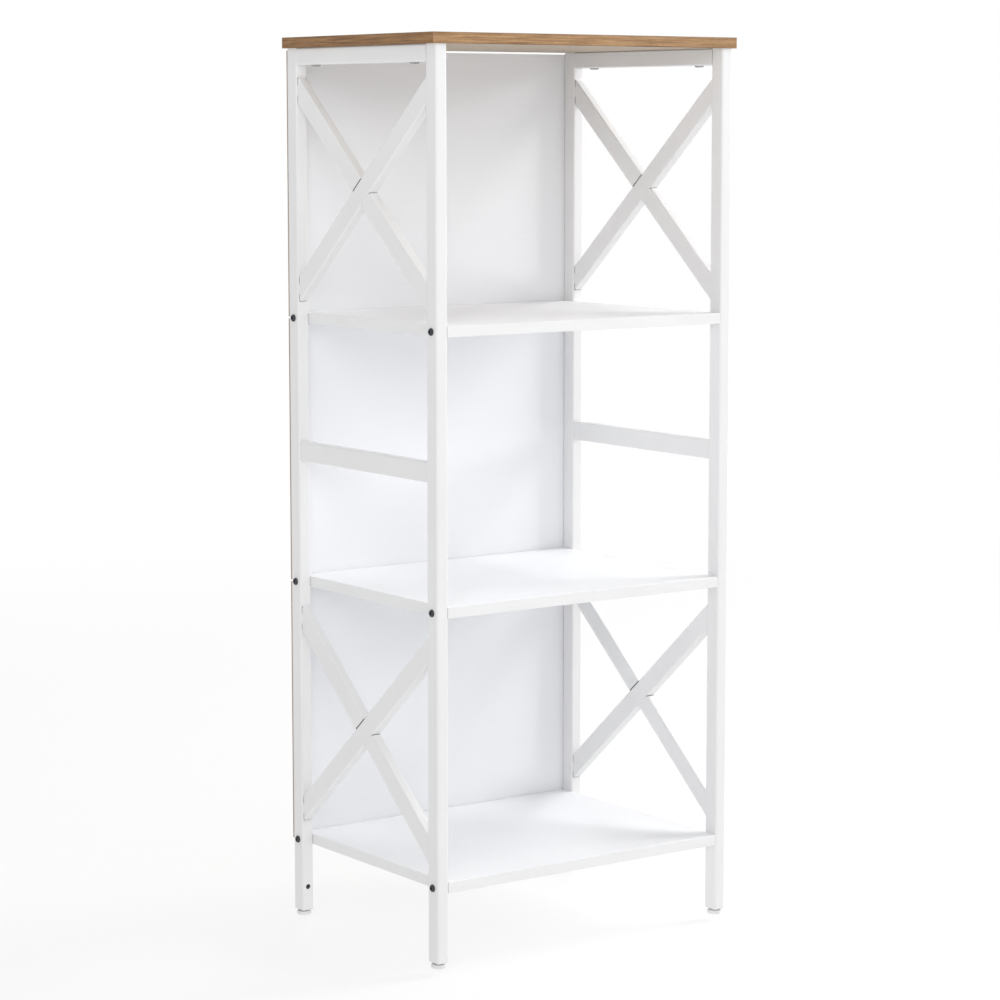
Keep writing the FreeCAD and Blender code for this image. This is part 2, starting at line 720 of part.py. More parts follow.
def build_foot_pad(name, x, y):
    """Round plastic pad with a bevelled sole and a socket for the stud."""
    body = new_body(name)
    profile = add_sketch(body, name + "_profile", "XZ_Plane")
    radius = "sheet.foot_diameter / 2"
    stud = "(sheet.stud_diameter / 2 - sheet.stud_clearance)"
    outline = [
        ("0", "0"),
        (radius + " - sheet.foot_bevel", "0"),
        (radius, "sheet.foot_bevel"),
        (radius, "sheet.foot_height"),
        (stud, "sheet.foot_height"),
        (stud, "sheet.foot_base"),
        ("0", "sheet.foot_base"),
    ]
    add_polygon(profile, outline)
    turned = revolve(body, profile)
    doc.recompute()
    rim = circles_at(turned.Shape, evaluate(radius), evaluate("sheet.foot_height"))
    fillet(body, turned, rim, "sheet.foot_rim")
    place(body, x, y, "0")


def build_foot_stud(name, x, y):
    """Steel stud with a hexagon collar that stops against the plug."""
    body = new_body(name)
    shank = add_sketch(body, name + "_shank", "XY_Plane", "sheet.foot_base")
    add_circle(shank, "0", "0", "sheet.stud_diameter - 2 * sheet.stud_clearance")
    pad(body, shank, "sheet.stud_top - sheet.foot_base")
    collar = add_sketch(body, name + "_collar", "XY_Plane", "sheet.foot_height")
    add_polygon(collar, hexagon("sheet.collar_width"))
    pad(body, collar, "sheet.collar_top - sheet.foot_height")
    place(body, x, y, "0")


def build_feet():
    """A plug, a stud and a pad under each leg."""
    for side, side_name in ((-1, "left"), (1, "right")):
        for leg_y, leg_name in ((FRONT_LEG_Y, "front"), (REAR_LEG_Y, "rear")):
            tag = "%s_%s_" % (side_name, leg_name)
            x = "%d * %s" % (side, LEG_X)
            build_leg_plug(tag + "leg_plug", x, leg_y)
            build_foot_pad(tag + "foot_pad", x, leg_y)
            build_foot_stud(tag + "foot_stud", x, leg_y)


# --------------------------------------------------------------------------
# Build, check and write
# --------------------------------------------------------------------------

def check_document():
    """Stop if any object failed or any piece has no sound solid."""
    doc.recompute()
    for item in doc.Objects:
        if "Invalid" in item.State or "Error" in item.State:
            raise RuntimeError("%s is in state %s" % (item.Name, item.State))
    for piece in pieces:
        shape = piece.Shape
        if shape.isNull() or not shape.isValid() or not shape.Solids:
            raise RuntimeError("%s has no valid solid" % piece.Label)


def write_pieces():
    """Export each piece to its own file."""
    os.makedirs("parts", exist_ok=True)
    for piece in pieces:
        piece.Shape.exportStep("parts/%s.step" % piece.Label)
        box = piece.Shape.BoundBox
        sizes = (box.XMin, box.XMax, box.YMin, box.YMax, box.ZMin, box.ZMax)
        print(piece.Label, len(piece.Shape.Solids), "%.1f" % piece.Shape.Volume, "%.2f " * 6 % sizes)


build_side_frame("left", -1)
build_side_frame("right", 1)
for shelf_level in range(len(SHELVES)):
    build_shelf(shelf_level)
    build_back_panel(shelf_level)
    build_shelf_fixings(shelf_level)
build_top_board()
build_top_board_screws()
build_back_panel_screws()
build_feet()
check_document()
write_pieces()
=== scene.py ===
import logging
import math
from abc import ABC, abstractmethod
from dataclasses import dataclass
from enum import Enum
from typing import Callable, Sequence

import bmesh
import bpy
from mathutils import Euler, Matrix, Vector


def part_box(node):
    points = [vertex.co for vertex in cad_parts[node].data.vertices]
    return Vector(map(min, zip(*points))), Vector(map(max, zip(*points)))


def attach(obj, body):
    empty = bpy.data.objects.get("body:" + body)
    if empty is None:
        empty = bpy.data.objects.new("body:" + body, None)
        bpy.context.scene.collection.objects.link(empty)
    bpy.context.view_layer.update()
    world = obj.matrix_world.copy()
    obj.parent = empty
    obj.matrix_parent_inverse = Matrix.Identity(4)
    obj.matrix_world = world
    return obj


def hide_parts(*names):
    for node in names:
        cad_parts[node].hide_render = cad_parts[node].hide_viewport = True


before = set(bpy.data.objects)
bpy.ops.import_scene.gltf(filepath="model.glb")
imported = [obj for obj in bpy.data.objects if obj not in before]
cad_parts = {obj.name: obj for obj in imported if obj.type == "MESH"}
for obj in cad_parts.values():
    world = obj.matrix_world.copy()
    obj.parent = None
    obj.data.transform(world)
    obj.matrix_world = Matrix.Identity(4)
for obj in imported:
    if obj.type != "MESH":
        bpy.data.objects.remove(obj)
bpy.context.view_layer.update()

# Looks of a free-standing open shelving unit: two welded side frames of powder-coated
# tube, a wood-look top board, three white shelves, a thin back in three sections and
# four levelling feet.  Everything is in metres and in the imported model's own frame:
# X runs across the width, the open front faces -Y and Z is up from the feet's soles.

LOG = logging.getLogger("shelving_unit")

UNIT = "shelf_unit"
MM = 0.001
TURN = 2 * math.pi
UP = Vector((0.0, 0.0, 1.0))

Colour = tuple[float, float, float]
Outline = Callable[[float], float]
Profile = list[tuple[Outline, float]]
Shape = bmesh.types.BMesh
Socket = bpy.types.NodeSocket
Span = tuple[float, float]
Density = tuple[float, float, float]

WHITE: Colour = (1.0, 1.0, 1.0)


class Side(Enum):
    """Left and right as seen from the open front; the value is the sign of X."""

    LEFT = -1
    RIGHT = 1

    @property
    def word(self) -> str:
        """The side's name as the CAD nodes spell it."""
        return self.name.lower()


class End(Enum):
    """Front and rear; the value is the sign of Y."""

    FRONT = -1
    REAR = 1

    @property
    def word(self) -> str:
        """The end's name as the CAD nodes spell it."""
        return self.name.lower()


class Level(Enum):
    """The three shelves, from the floor up."""

    LOWER = "lower"
    MIDDLE = "middle"
    UPPER = "upper"


class Grain(Enum):
    """The axis that a board's grain runs along."""

    ACROSS = 0
    DEEP = 1


# --- Finishes ---


class Wiring:
    """A node tree under construction, with short ways to add and join nodes."""

    def __init__(self, tree: bpy.types.NodeTree) -> None:
        """Take over a node tree."""
        self.tree = tree

    def add(self, kind: str, **settings: object) -> bpy.types.Node:
        """Add a node.

        Args:
            kind: The node's type name.
            settings: Properties to set on it.

        Returns:
            The new node.
        """
        node = self.tree.nodes.new(kind)
        for key, value in settings.items():
            setattr(node, key, value)
        return node

    def join(self, source: Socket, target: Socket) -> None:
        """Link an output to an input."""
        self.tree.links.new(source, target)

    def feed(self, value: Socket | Colour | float, target: Socket) -> None:
        """Link an output to an input, or set a constant on it.

        Args:
            value: The output, or a constant colour or number.
            target: The input.
        """
        if isinstance(value, float):
            target.default_value = value
        elif isinstance(value, tuple):
            target.default_value = (*value, 1.0)
        else:
            self.join(value, target)

    def combine(self, operation: str, *values: Socket | float) -> Socket:
        """Combine numbers with a Math node.

        Args:
            operation: The node's operation.
            values: Its inputs, sockets or constants.

        Returns:
            The result.
        """
        node = self.add("ShaderNodeMath", operation=operation)
        for value, target in zip(values, node.inputs):
            self.feed(value, target)
        return node.outputs["Value"]


class NodeBoard(Wiring):
    """A material under construction."""

    def __init__(self, name: str) -> None:
        """Start a material.

        Args:
            name: The material's name.
        """
        self.material = bpy.data.materials.new(name)
        self.material.use_nodes = True
        super().__init__(self.material.node_tree)
        self.shader = self.tree.nodes["Principled BSDF"]
        self.place = self.add("ShaderNodeTexCoord").outputs["Object"]

    def set(self, **values: object) -> None:
        """Set the shader's own sockets; underscores in a name stand for spaces.

        Args:
            values: Socket names and their constant values.
        """
        for key, value in values.items():
            self.shader.inputs[key.replace("_", " ")].default_value = value

    def scaled(self, scale: Density) -> Socket:
        """Object coordinates times a scale for each axis.

        Args:
            scale: Features per metre along X, Y and Z.

        Returns:
            The scaled coordinates.
        """
        node = self.add("ShaderNodeMapping", vector_type="POINT")
        node.inputs["Scale"].default_value = scale
        self.join(self.place, node.inputs["Vector"])
        return node.outputs["Vector"]

    def noise(self, scale: Density, detail: float = 2.0, warp: float = 0.0) -> Socket:
        """Noise over the object's own coordinates.

        Args:
            scale: Features per metre along X, Y and Z.
            detail: Number of finer layers.
            warp: How far the noise is distorted.

        Returns:
            The noise, from 0 to 1.
        """
        node = self.add("ShaderNodeTexNoise")
        node.inputs["Scale"].default_value = 1.0
        node.inputs["Detail"].default_value = detail
        node.inputs["Distortion"].default_value = warp
        self.join(self.scaled(scale), node.inputs["Vector"])
        return node.outputs["Fac"]

    def ramp(self, value: Socket, *stops: tuple[float, Colour]) -> Socket:
        """Colour a value.

        Args:
            value: A number from 0 to 1.
            stops: Places along the ramp and their colours.

        Returns:
            The colour.
        """
        node = self.add("ShaderNodeValToRGB")
        elements = node.color_ramp.elements
        while len(elements) < len(stops):
            elements.new(0.5)
        for element, (at, colour) in zip(elements, stops):
            element.position = at
            element.color = (*colour, 1.0)
        self.join(value, node.inputs["Fac"])
        return node.outputs["Color"]

    def eased(self, value: Socket, start: float, end: float, low: float, high: float) -> Socket:
        """Ease a value from one range to another.

        Args:
            value: The number to map.
            start: Where the change starts.
            end: Where it ends.
            low: The result up to start.
            high: The result from end on.

        Returns:
            The mapped number.
        """
        node = self.add("ShaderNodeMapRange", interpolation_type="SMOOTHSTEP")
        for key, number in (("From Min", start), ("From Max", end), ("To Min", low), ("To Max", high)):
            node.inputs[key].default_value = number
        self.join(value, node.inputs["Value"])
        return node.outputs["Result"]

    def tint(self, colour: Socket, by: Socket | Colour, amount: Socket | float) -> Socket:
        """Multiply a colour by another.

        Args:
            colour: The colour to change.
            by: The colour it is multiplied by.
            amount: How much of the change shows.

        Returns:
            The new colour.
        """
        node = self.add("ShaderNodeMix", data_type="RGBA", blend_type="MULTIPLY")
        first, second = [socket for socket in node.inputs if socket.type == "RGBA"]
        self.feed(colour, first)
        self.feed(by, second)
        self.feed(amount, node.inputs["Factor"])
        return next(socket for socket in node.outputs if socket.type == "RGBA")

    def colour(self, colour: Socket) -> None:
        """Use a colour as the surface's base colour."""
        self.join(colour, self.shader.inputs["Base Color"])

    def roughness(self, value: Socket) -> None:
        """Use a number as the surface's roughness."""
        self.join(value, self.shader.inputs["Roughness"])

    def relief(self, *heights: tuple[Socket, float]) -> None:
        """Raise the surface by several height patterns.

        Args:
            heights: Each pattern and its full height in metres.
        """
        below = None
        for height, size in heights:
            node = self.add("ShaderNodeBump")
            node.inputs["Distance"].default_value = size
            node.inputs["Strength"].default_value = 1.0
            self.join(height, node.inputs["Height"])
            if below is not None:
                self.join(below, node.inputs["Normal"])
            below = node.outputs["Normal"]
        self.join(below, self.shader.inputs["Normal"])


def even(count: float) -> Density:
    """The same number of features per metre along every axis."""
    return (count, count, count)


def along_grain(grain: Grain, along: float, over: float) -> Density:
    """Feature counts per metre for a grained surface, along its grain and over it."""
    return tuple(along if axis == grain.value else over for axis in range(3))


@dataclass(frozen=True)
class Finish(ABC):
    """A surface finish and the record's material slot that it belongs to."""

    name: str
    slot: str

    def material(self) -> bpy.types.Material:
        """The finish's material, made the first time it is asked for."""
        found = bpy.data.materials.get(self.name)
        if found is not None:
            return found
        board = NodeBoard(self.name)
        self.dress(board)
        return board.material

    @abstractmethod
    def dress(self, board: NodeBoard) -> None:
        """Set up the finish's nodes.

        Args:
            board: The material under construction.
        """


@dataclass(frozen=True)
class PowderCoat(Finish):
    """White powder coat: satin, with orange peel and a few thin and thick patches."""

    light: Colour = (0.842, 0.84, 0.842)
    shade: Colour = (0.815, 0.812, 0.816)
    patches: Density = (9.0, 9.0, 7.0)
    peel_size: float = 1.6 * MM
    peel_height: float = 0.012 * MM
    gloss: Span = (0.38, 0.48)

    def dress(self, board: NodeBoard) -> None:
        """Set up the coat's nodes.

        Args:
            board: The material under construction.
        """
        cloud = board.noise(self.patches, detail=3.0)
        board.colour(board.ramp(cloud, (0.3, self.shade), (0.7, self.light)))
        peel = board.noise(even(1.0 / self.peel_size), detail=1.5)
        dust = board.noise(even(4.0 / self.peel_size))
        board.roughness(board.eased(cloud, 0.25, 0.75, *self.gloss))
        board.relief((peel, self.peel_height), (dust, self.peel_height / 4))
        board.set(Coat_Weight=0.15, Coat_Roughness=0.22, IOR=1.5)


@dataclass(frozen=True)
class SeamShadeStrip(Finish):
    """Near-black strip at the bottom of a narrow seam: painted shade for the seam's shadow, coloured as
    bare steel where the powder does not reach.
    """

    light: Colour = (0.1, 0.098, 0.095)
    shade: Colour = (0.05, 0.048, 0.046)
    specks: float = 600.0
    scale_height: float = 0.02 * MM

    def dress(self, board: NodeBoard) -> None:
        """Set up the painted seam shade's nodes.

        Args:
            board: The material under construction.
        """
        cloud = board.noise(even(self.specks), detail=3.0)
        board.colour(board.ramp(cloud, (0.3, self.shade), (0.7, self.light)))
        board.relief((cloud, self.scale_height))
        board.set(Roughness=0.7, Metallic=0.3)


@dataclass(frozen=True)
class WhiteFace(Finish):
    """White melamine or lacquer with a faint grain emboss."""

    grain: Grain = Grain.ACROSS
    light: Colour = (0.875, 0.878, 0.893)
    shade: Colour = (0.866, 0.869, 0.884)
    dull: Colour = (0.985, 0.985, 0.985)
    emboss: float = 0.012 * MM
    gloss: float = 0.42

    def dress(self, board: NodeBoard) -> None:
        """Set up the face's nodes.

        Args:
            board: The material under construction.
        """
        cloud = board.noise(even(5.0))
        lines = board.noise(along_grain(self.grain, 9.0, 420.0), detail=3.0, warp=0.2)
        body = board.ramp(lines, (0.32, self.shade), (0.55, self.light))
        patches = board.ramp(cloud, (0.3, self.dull), (0.7, WHITE))
        board.colour(board.tint(body, patches, 1.0))
        pores = board.noise(along_grain(self.grain, 60.0, 1500.0))
        board.relief((lines, self.emboss), (pores, self.emboss / 3))
        board.roughness(board.eased(lines, 0.3, 0.7, self.gloss + 0.06, self.gloss))


@dataclass(frozen=True)
class BandedEdge(Finish):
    """White plastic edge banding, planed smooth, with fine cutter marks."""

    colour: Colour = (0.848, 0.848, 0.85)
    marks: float = 0.006 * MM
    gloss: Span = (0.34, 0.42)

    def dress(self, board: NodeBoard) -> None:
        """Set up the band's nodes.

        Args:
            board: The material under construction.
        """
        cloud = board.noise((14.0, 14.0, 60.0))
        dull = tuple(0.975 * part for part in self.colour)
        board.colour(board.ramp(cloud, (0.35, dull), (0.65, self.colour)))
        cutter = board.noise((900.0, 900.0, 120.0), detail=1.0)
        board.relief((cutter, self.marks))
        board.roughness(board.eased(cloud, 0.3, 0.7, *self.gloss))


@dataclass(frozen=True)
class OakPrint(Finish):
    """Wood-look print: streaky oak grain with pores, satin and lightly embossed."""

    grain: Grain = Grain.ACROSS
    pale: Colour = (0.485, 0.293, 0.142)
    middle: Colour = (0.378, 0.215, 0.095)
    dark: Colour = (0.255, 0.133, 0.053)
    pore: Colour = (0.6, 0.53, 0.47)
    rim: Colour = (0.5, 0.46, 0.42)
    streak: float = 2.2 * MM
    run: float = 75.0 * MM
    figure_height: float = 0.03 * MM
    pore_height: float = 0.04 * MM
    edges: Span | None = None
    edge_line: float = 0.9 * MM

    def stretch(self, run: float, streak: float) -> Density:
        """Feature counts per metre for features of a given run and width."""
        return along_grain(self.grain, 1.0 / run, 1.0 / streak)

    def darken_rims(self, board: NodeBoard, wood: Socket) -> Socket:
        """Darken the lines where a band meets the faces of its board.

        Args:
            board: The material's nodes.
            wood: The wood's colour.

        Returns:
            The colour with a darker line along the lower and upper edge.
        """
        low, high = self.edges
        near = 0.4 * self.edge_line
        far = 1.4 * self.edge_line
        split = board.add("ShaderNodeSeparateXYZ")
        board.join(board.place, split.inputs["Vector"])
        height = split.outputs["Z"]
        under = board.eased(height, low + near, low + far, 1.0, 0.0)
        over = board.eased(height, high - far, high - near, 0.0, 1.0)
        return board.tint(wood, self.rim, board.combine("MAXIMUM", under, over))

    def dress(self, board: NodeBoard) -> None:
        """Set up the print's nodes.

        Args:
            board: The material under construction.
        """
        broad = board.noise(self.stretch(6.0 * self.run, 12.0 * self.streak), warp=0.8)
        figure = board.noise(self.stretch(self.run, self.streak), detail=4.0, warp=0.35)
        pores = board.noise(self.stretch(self.run / 9.0, self.streak / 7.0))
        strong = board.combine("MULTIPLY", figure, 0.8)
        faint = board.combine("MULTIPLY", broad, 0.2)
        mixed = board.combine("ADD", strong, faint)
        wood = board.ramp(mixed, (0.38, self.dark), (0.5, self.middle), (0.62, self.pale))
        fine = board.ramp(pores, (0.36, self.pore), (0.5, WHITE))
        wood = board.tint(wood, fine, 0.75)
        if self.edges is not None:
            wood = self.darken_rims(board, wood)
        board.colour(wood)
        board.roughness(board.eased(pores, 0.3, 0.6, 0.55, 0.4))
        board.relief((figure, self.figure_height), (pores, self.pore_height))


@dataclass(frozen=True)
class BackingPaper(Finish):
    """Greyish-beige balancing paper on the underside of the wood-look board."""

    light: Colour = (0.47, 0.385, 0.3)
    shade: Colour = (0.41, 0.33, 0.25)
    speck: Colour = (0.9, 0.88, 0.86)
    fibre_height: float = 0.02 * MM

    def dress(self, board: NodeBoard) -> None:
        """Set up the paper's nodes.

        Args:
            board: The material under construction.
        """
        fibre = board.noise((30.0, 260.0, 260.0), detail=4.0, warp=0.4)
        grit = board.noise(even(900.0))
        body = board.ramp(fibre, (0.3, self.shade), (0.7, self.light))
        specks = board.ramp(grit, (0.35, self.speck), (0.5, WHITE))
        board.colour(board.tint(body, specks, 0.6))
        board.relief((fibre, self.fibre_height))
        board.set(Roughness=0.6)


@dataclass(frozen=True)
class RawFibreboard(Finish):
    """Bare brown fibreboard: sawn edges and a screened rear face."""

    light: Colour = (0.375, 0.265, 0.17)
    shade: Colour = (0.315, 0.215, 0.135)
    fleck: Colour = (0.72, 0.68, 0.62)
    mesh_size: float = 1.4 * MM
    mesh_height: float = 0.05 * MM
    fibre_height: float = 0.04 * MM

    def screen(self, board: NodeBoard) -> Socket:
        """The cross-hatched print that the press screen leaves.

        Args:
            board: The material's nodes.

        Returns:
            The pattern, from 0 to 1.
        """
        weave = []
        for axis in ("X", "Z"):
            wave = board.add("ShaderNodeTexWave", bands_direction=axis)
            wave.inputs["Scale"].default_value = 0.314 / self.mesh_size
            wave.inputs["Distortion"].default_value = 0.4
            board.join(board.place, wave.inputs["Vector"])
            weave.append(wave.outputs["Fac"])
        return board.combine("MAXIMUM", *weave)

    def dress(self, board: NodeBoard) -> None:
        """Set up the fibreboard's nodes.

        Args:
            board: The material under construction.
        """
        cloud = board.noise(even(12.0), detail=5.0, warp=0.5)
        fibre = board.noise((700.0, 700.0, 500.0), detail=4.0, warp=0.6)
        body = board.ramp(cloud, (0.25, self.shade), (0.75, self.light))
        flecks = board.ramp(fibre, (0.3, self.fleck), (0.62, WHITE))
        board.colour(board.tint(body, flecks, 0.8))
        board.relief((self.screen(board), self.mesh_height), (fibre, self.fibre_height))
        board.set(Roughness=0.78)


@dataclass(frozen=True)
class SteelFinish(Finish):
    """A plated or blackened steel surface with fine turning marks."""

    light: Colour = (0.7, 0.71, 0.73)
    shade: Colour = (0.55, 0.56, 0.58)
    metal: float = 1.0
    gloss: float = 0.28
    mark_height: float = 0.006 * MM

    def dress(self, board: NodeBoard) -> None:
        """Set up the steel's nodes.

        Args:
            board: The material under construction.
        """
        cloud = board.noise(even(350.0), detail=3.0)
        marks = board.noise((2500.0, 2500.0, 9000.0))
        board.colour(board.ramp(cloud, (0.3, self.shade), (0.7, self.light)))
        board.roughness(board.eased(marks, 0.3, 0.7, self.gloss, self.gloss + 0.14))
        board.relief((marks, self.mark_height))
        board.set(Metallic=self.metal)


@dataclass(frozen=True)
class MouldedPlastic(Finish):
    """White moulded plastic with a fine spark texture."""

    light: Colour = (0.82, 0.82, 0.815)
    shade: Colour = (0.78, 0.78, 0.77)
    spark_height: float = 0.01 * MM
    gloss: Span = (0.4, 0.5)

    def dress(self, board: NodeBoard) -> None:
        """Set up the plastic's nodes.

        Args:
            board: The material under construction.
        """
        cloud = board.noise(even(120.0))
        spark = board.noise(even(3200.0))
        board.colour(board.ramp(cloud, (0.3, self.shade), (0.7, self.light)))
        board.roughness(board.eased(spark, 0.3, 0.7, *self.gloss))
        board.relief((spark, self.spark_height))
        board.set(Subsurface_Weight=0.05, Subsurface_Scale=2.0 * MM)


@dataclass(frozen=True)
class PaleFloor(Finish):
    """Plain white studio floor, partly lit from within so that shadows stay faint.

    The glow's share is backlight up to the near distance and all of it from far on.
    """

    colour: Colour = (0.9, 0.9, 0.9)
    backlight: float = 0.78
    near: float = 1.0
    far: float = 4.5

    def dress(self, board: NodeBoard) -> None:
        """Set up the floor's nodes.

        Args:
            board: The material under construction.
        """
        cloud = board.noise(even(3.0))
        dull = tuple(0.99 * part for part in self.colour)
        board.colour(board.ramp(cloud, (0.3, dull), (0.7, self.colour)))
        board.set(Roughness=0.85)
        glow = board.add("ShaderNodeEmission")
        glow.inputs["Strength"].default_value = 1.0
        distance = board.add("ShaderNodeVectorMath", operation="LENGTH")
        board.join(board.place, distance.inputs[0])
        share = board.eased(distance.outputs["Value"], self.near, self.far, self.backlight, 1.0)
        blend = board.add("ShaderNodeMixShader")
        board.join(share, blend.inputs["Fac"])
        board.join(board.shader.outputs["BSDF"], blend.inputs[1])
        board.join(glow.outputs["Emission"], blend.inputs[2])
        surface = board.tree.nodes["Material Output"].inputs["Surface"]
        board.join(blend.outputs["Shader"], surface)


POWDER = PowderCoat("white_powder_coat", "frame_powder_coat")
# Painted shade: near-black strips at the bottom of the frame's seams stand in for the seams' shadow.
SEAM_SHADE = SeamShadeStrip("seam_painted_shade", "frame_powder_coat")
SHELF_FACE = WhiteFace("white_melamine", "white_board")
WHITE_BAND = BandedEdge("white_banding", "white_edge_band")
PANEL_FACE = WhiteFace(
    "white_lacquered_face",
    "back_panel",
    light=(0.882, 0.892, 0.916),
    shade=(0.873, 0.883, 0.907),
    emboss=0.007 * MM,
    gloss=0.45,
)
RAW_BOARD = RawFibreboard("raw_fibreboard", "back_panel")
OAK_TOP = OakPrint("oak_print_top", "oak_board", streak=9.0 * MM, run=420.0 * MM)
PAPER = BackingPaper("backing_paper", "oak_board")
BLACK_STEEL = SteelFinish(
    "blackened_steel",
    "black_steel",
    light=(0.085, 0.088, 0.1),
    shade=(0.055, 0.057, 0.065),
    metal=0.9,
    gloss=0.26,
)
ZINC_STEEL = SteelFinish("zinc_plate", "zinc_steel")
NICKEL_STEEL = SteelFinish(
    "nickel_plate",
    "bright_steel",
    light=(0.52, 0.515, 0.51),
    shade=(0.3, 0.295, 0.29),
    gloss=0.14,
)
PLASTIC = MouldedPlastic("moulded_plastic", "white_plastic")
FLOOR = PaleFloor("pale_floor", "none")


# --- Shapes ---


def make_piece(
    name: str,
    mesh: bpy.types.Mesh,
    finishes: Sequence[Finish],
    body: str = UNIT,
    stands_for: Sequence[str] = (),
    crease: float = 40.0,
) -> bpy.types.Object:
    """Turn a finished mesh into a piece that rides on a CAD body.

    Args:
        name: The piece's name.
        mesh: Its mesh, in the row frame.
        finishes: Its finishes, in the order of the mesh's material indices.
        body: The CAD body that it moves with.
        stands_for: The CAD nodes that it replaces.
        crease: Edges sharper than this many degrees stay sharp.

    Returns:
        The new object.
    """
    for finish in finishes:
        mesh.materials.append(finish.material())
    mesh.polygons.foreach_set("use_smooth", [True] * len(mesh.polygons))
    mesh.set_sharp_from_angle(angle=math.radians(crease))
    piece = bpy.data.objects.new(name, mesh)
    bpy.context.scene.collection.objects.link(piece)
    even = piece.modifiers.new("even_shading", "WEIGHTED_NORMAL")
    even.keep_sharp = True
    even.weight = 100
    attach(piece, body)
    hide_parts(*stands_for)
    LOG.info("%s: %d faces, on %s", name, len(mesh.polygons), body)
    return piece


def join_meshes(name: str, parts: Sequence[Shape]) -> bpy.types.Mesh:
    """Gather several closed shapes into one mesh.

    Args:
        name: The mesh's name.
        parts: The shapes, which are freed.

    Returns:
        The mesh that holds them all.
    """
    whole = bmesh.new()
    for part in parts:
        scrap = bpy.data.meshes.new("part")
        bmesh.ops.recalc_face_normals(part, faces=part.faces)
        part.to_mesh(scrap)
        part.free()
        whole.from_mesh(scrap)
        bpy.data.meshes.remove(scrap)
    mesh = bpy.data.meshes.new(name)
    whole.to_mesh(mesh)
    whole.free()
    return mesh


def loft(rings: Sequence[Sequence[Vector]], around: bool = False) -> Shape:
    """Skin a row of rings that have the same number of points.

    Args:
        rings: The rings, each a closed loop of points.
        around: True joins the last ring to the first, as in a hollow tube; otherwise
            the first and last rings are capped.

    Returns:
        A closed shape.
    """
    shape = bmesh.new()
    loops = [[shape.verts.new(point) for point in ring] for ring in rings]
    pairs = list(zip(loops, loops[1:]))
    if around:
        pairs.append((loops[-1], loops[0]))
    else:
        shape.faces.new(loops[0])
        shape.faces.new(loops[-1])
    for near, far in pairs:
        for i in range(len(near)):
            j = (i + 1) % len(near)
            shape.faces.new((near[i], near[j], far[j], far[i]))
    return shape


def block(low: Vector, high: Vector, ease: float, steps: int = 2) -> Shape:
    """A board or strip with all its edges eased.

    Args:
        low: Lowest corner.
        high: Highest corner.
        ease: Radius of the eased edges.
        steps: Faces across an eased edge.

    Returns:
        A closed shape.
    """
    shape = bmesh.new()
    size = Matrix.Diagonal((*(high - low), 1.0))
    bmesh.ops.create_cube(shape, size=1.0, matrix=Matrix.Translation((low + high) / 2) @ size)
    bmesh.ops.bevel(
        shape,
        geom=shape.edges[:],
        offset=ease,
        offset_type="OFFSET",
        segments=steps,
        profile=0.5,
        affect="EDGES",
    )
    return shape


def circle(radius: float) -> Outline:
    """A round outline."""
    return lambda angle: radius


def hexagon(across_flats: float, corner_radius: float = math.inf) -> Outline:
    """A hexagon's outline, with its corners turned off at a radius.

    Args:
        across_flats: Width between opposite flats.
        corner_radius: Radius that the corners are turned down to; infinite leaves
            them sharp.

    Returns:
        The radius at each angle.
    """

    def radius(angle: float) -> float:
        """Radius at an angle."""
        off_flat = (angle + math.pi / 6) % (math.pi / 3) - math.pi / 6
        return min(across_flats / 2 / math.cos(off_flat), corner_radius)

    return radius


def cross(reach: float, half_width: float) -> Outline:
    """A cross recess's outline.

    Args:
        reach: Middle to the end of an arm.
        half_width: Half the width of an arm.

    Returns:
        The radius at each angle.
    """

    def radius(angle: float) -> float:
        """Radius at an angle."""
        over, along = sorted((abs(math.cos(angle)), abs(math.sin(angle))))
        return min(reach / along, half_width / max(over, 1e-9))

    return radius


@dataclass(frozen=True)
class Lathe:
    """Builds round-based shapes on an axis, from the bottom ring to the top one."""

    base: Vector
    axis: Vector
    sides: int = 48
    corners: tuple[float, ...] = ()

    def angles(self) -> list[float]:
        """The angles of each ring's points, with the given corners among them."""
        spaced = [TURN * k / self.sides for k in range(self.sides)]
        sharp = [corner % TURN for corner in self.corners]
        gap = 0.2 * TURN / self.sides
        kept = [a for a in spaced if all(gap < abs(a - s) < TURN - gap for s in sharp)]
        return sorted(kept + sharp)

    def shape(self, profile: Profile) -> Shape:
        """Skin a stack of outlines.

        Args:
            profile: Outlines and their places along the axis.

        Returns:
            A closed shape.
        """
        axis = self.axis.normalized()
        across = axis.orthogonal().normalized()
        over = axis.cross(across)
        rings = []
        for outline, height in profile:
            ring = []
            for angle in self.angles():
                spoke = across * math.cos(angle) + over * math.sin(angle)
                ring.append(self.base + axis * height + spoke * outline(angle))
            rings.append(ring)
        return loft(rings)


def round_over(start: Span, end: Span, steps: int = 8) -> Profile:
    """Quarter-ellipse stretch of a turned profile, upright at start and level at end.

    Args:
        start: Radius and height where it starts.
        end: Radius and height where it ends.
        steps: Number of faces along it.

    Returns:
        Outlines and heights along the stretch, both ends among them.
    """
    stretch = []
    for k in range(steps + 1):
        angle = math.pi / 2 * k / steps
        radius = end[0] + (start[0] - end[0]) * math.cos(angle)
        height = start[1] + (end[1] - start[1]) * math.sin(angle)
        stretch.append((circle(radius), height))
    return stretch


# --- Tubes and welds ---


@dataclass(frozen=True)
class Tube:
    """A rectangular tube's section."""

    width: float
    height: float
    wall: float = 1.2 * MM
    radius: float = 2.5 * MM
    least_radius: float = 0.2 * MM
    corner_steps: int = 5

    def section(self, inset: float = 0.0) -> list[tuple[float, float]]:
        """Points of the section's outline.

        Args:
            inset: How far the outline lies inside the tube's outer face.

        Returns:
            Points across the width and the height.
        """
        radius = max(self.radius - inset, self.least_radius)
        across = self.width / 2 - inset - radius
        over = self.height / 2 - inset - radius
        points = []
        for corner, (right, up) in enumerate(((1, 1), (-1, 1), (-1, -1), (1, -1))):
            for k in range(self.corner_steps + 1):
                angle = math.pi / 2 * (corner + k / self.corner_steps)
                x = right * across + radius * math.cos(angle)
                y = up * over + radius * math.sin(angle)
                points.append((x, y))
        return points


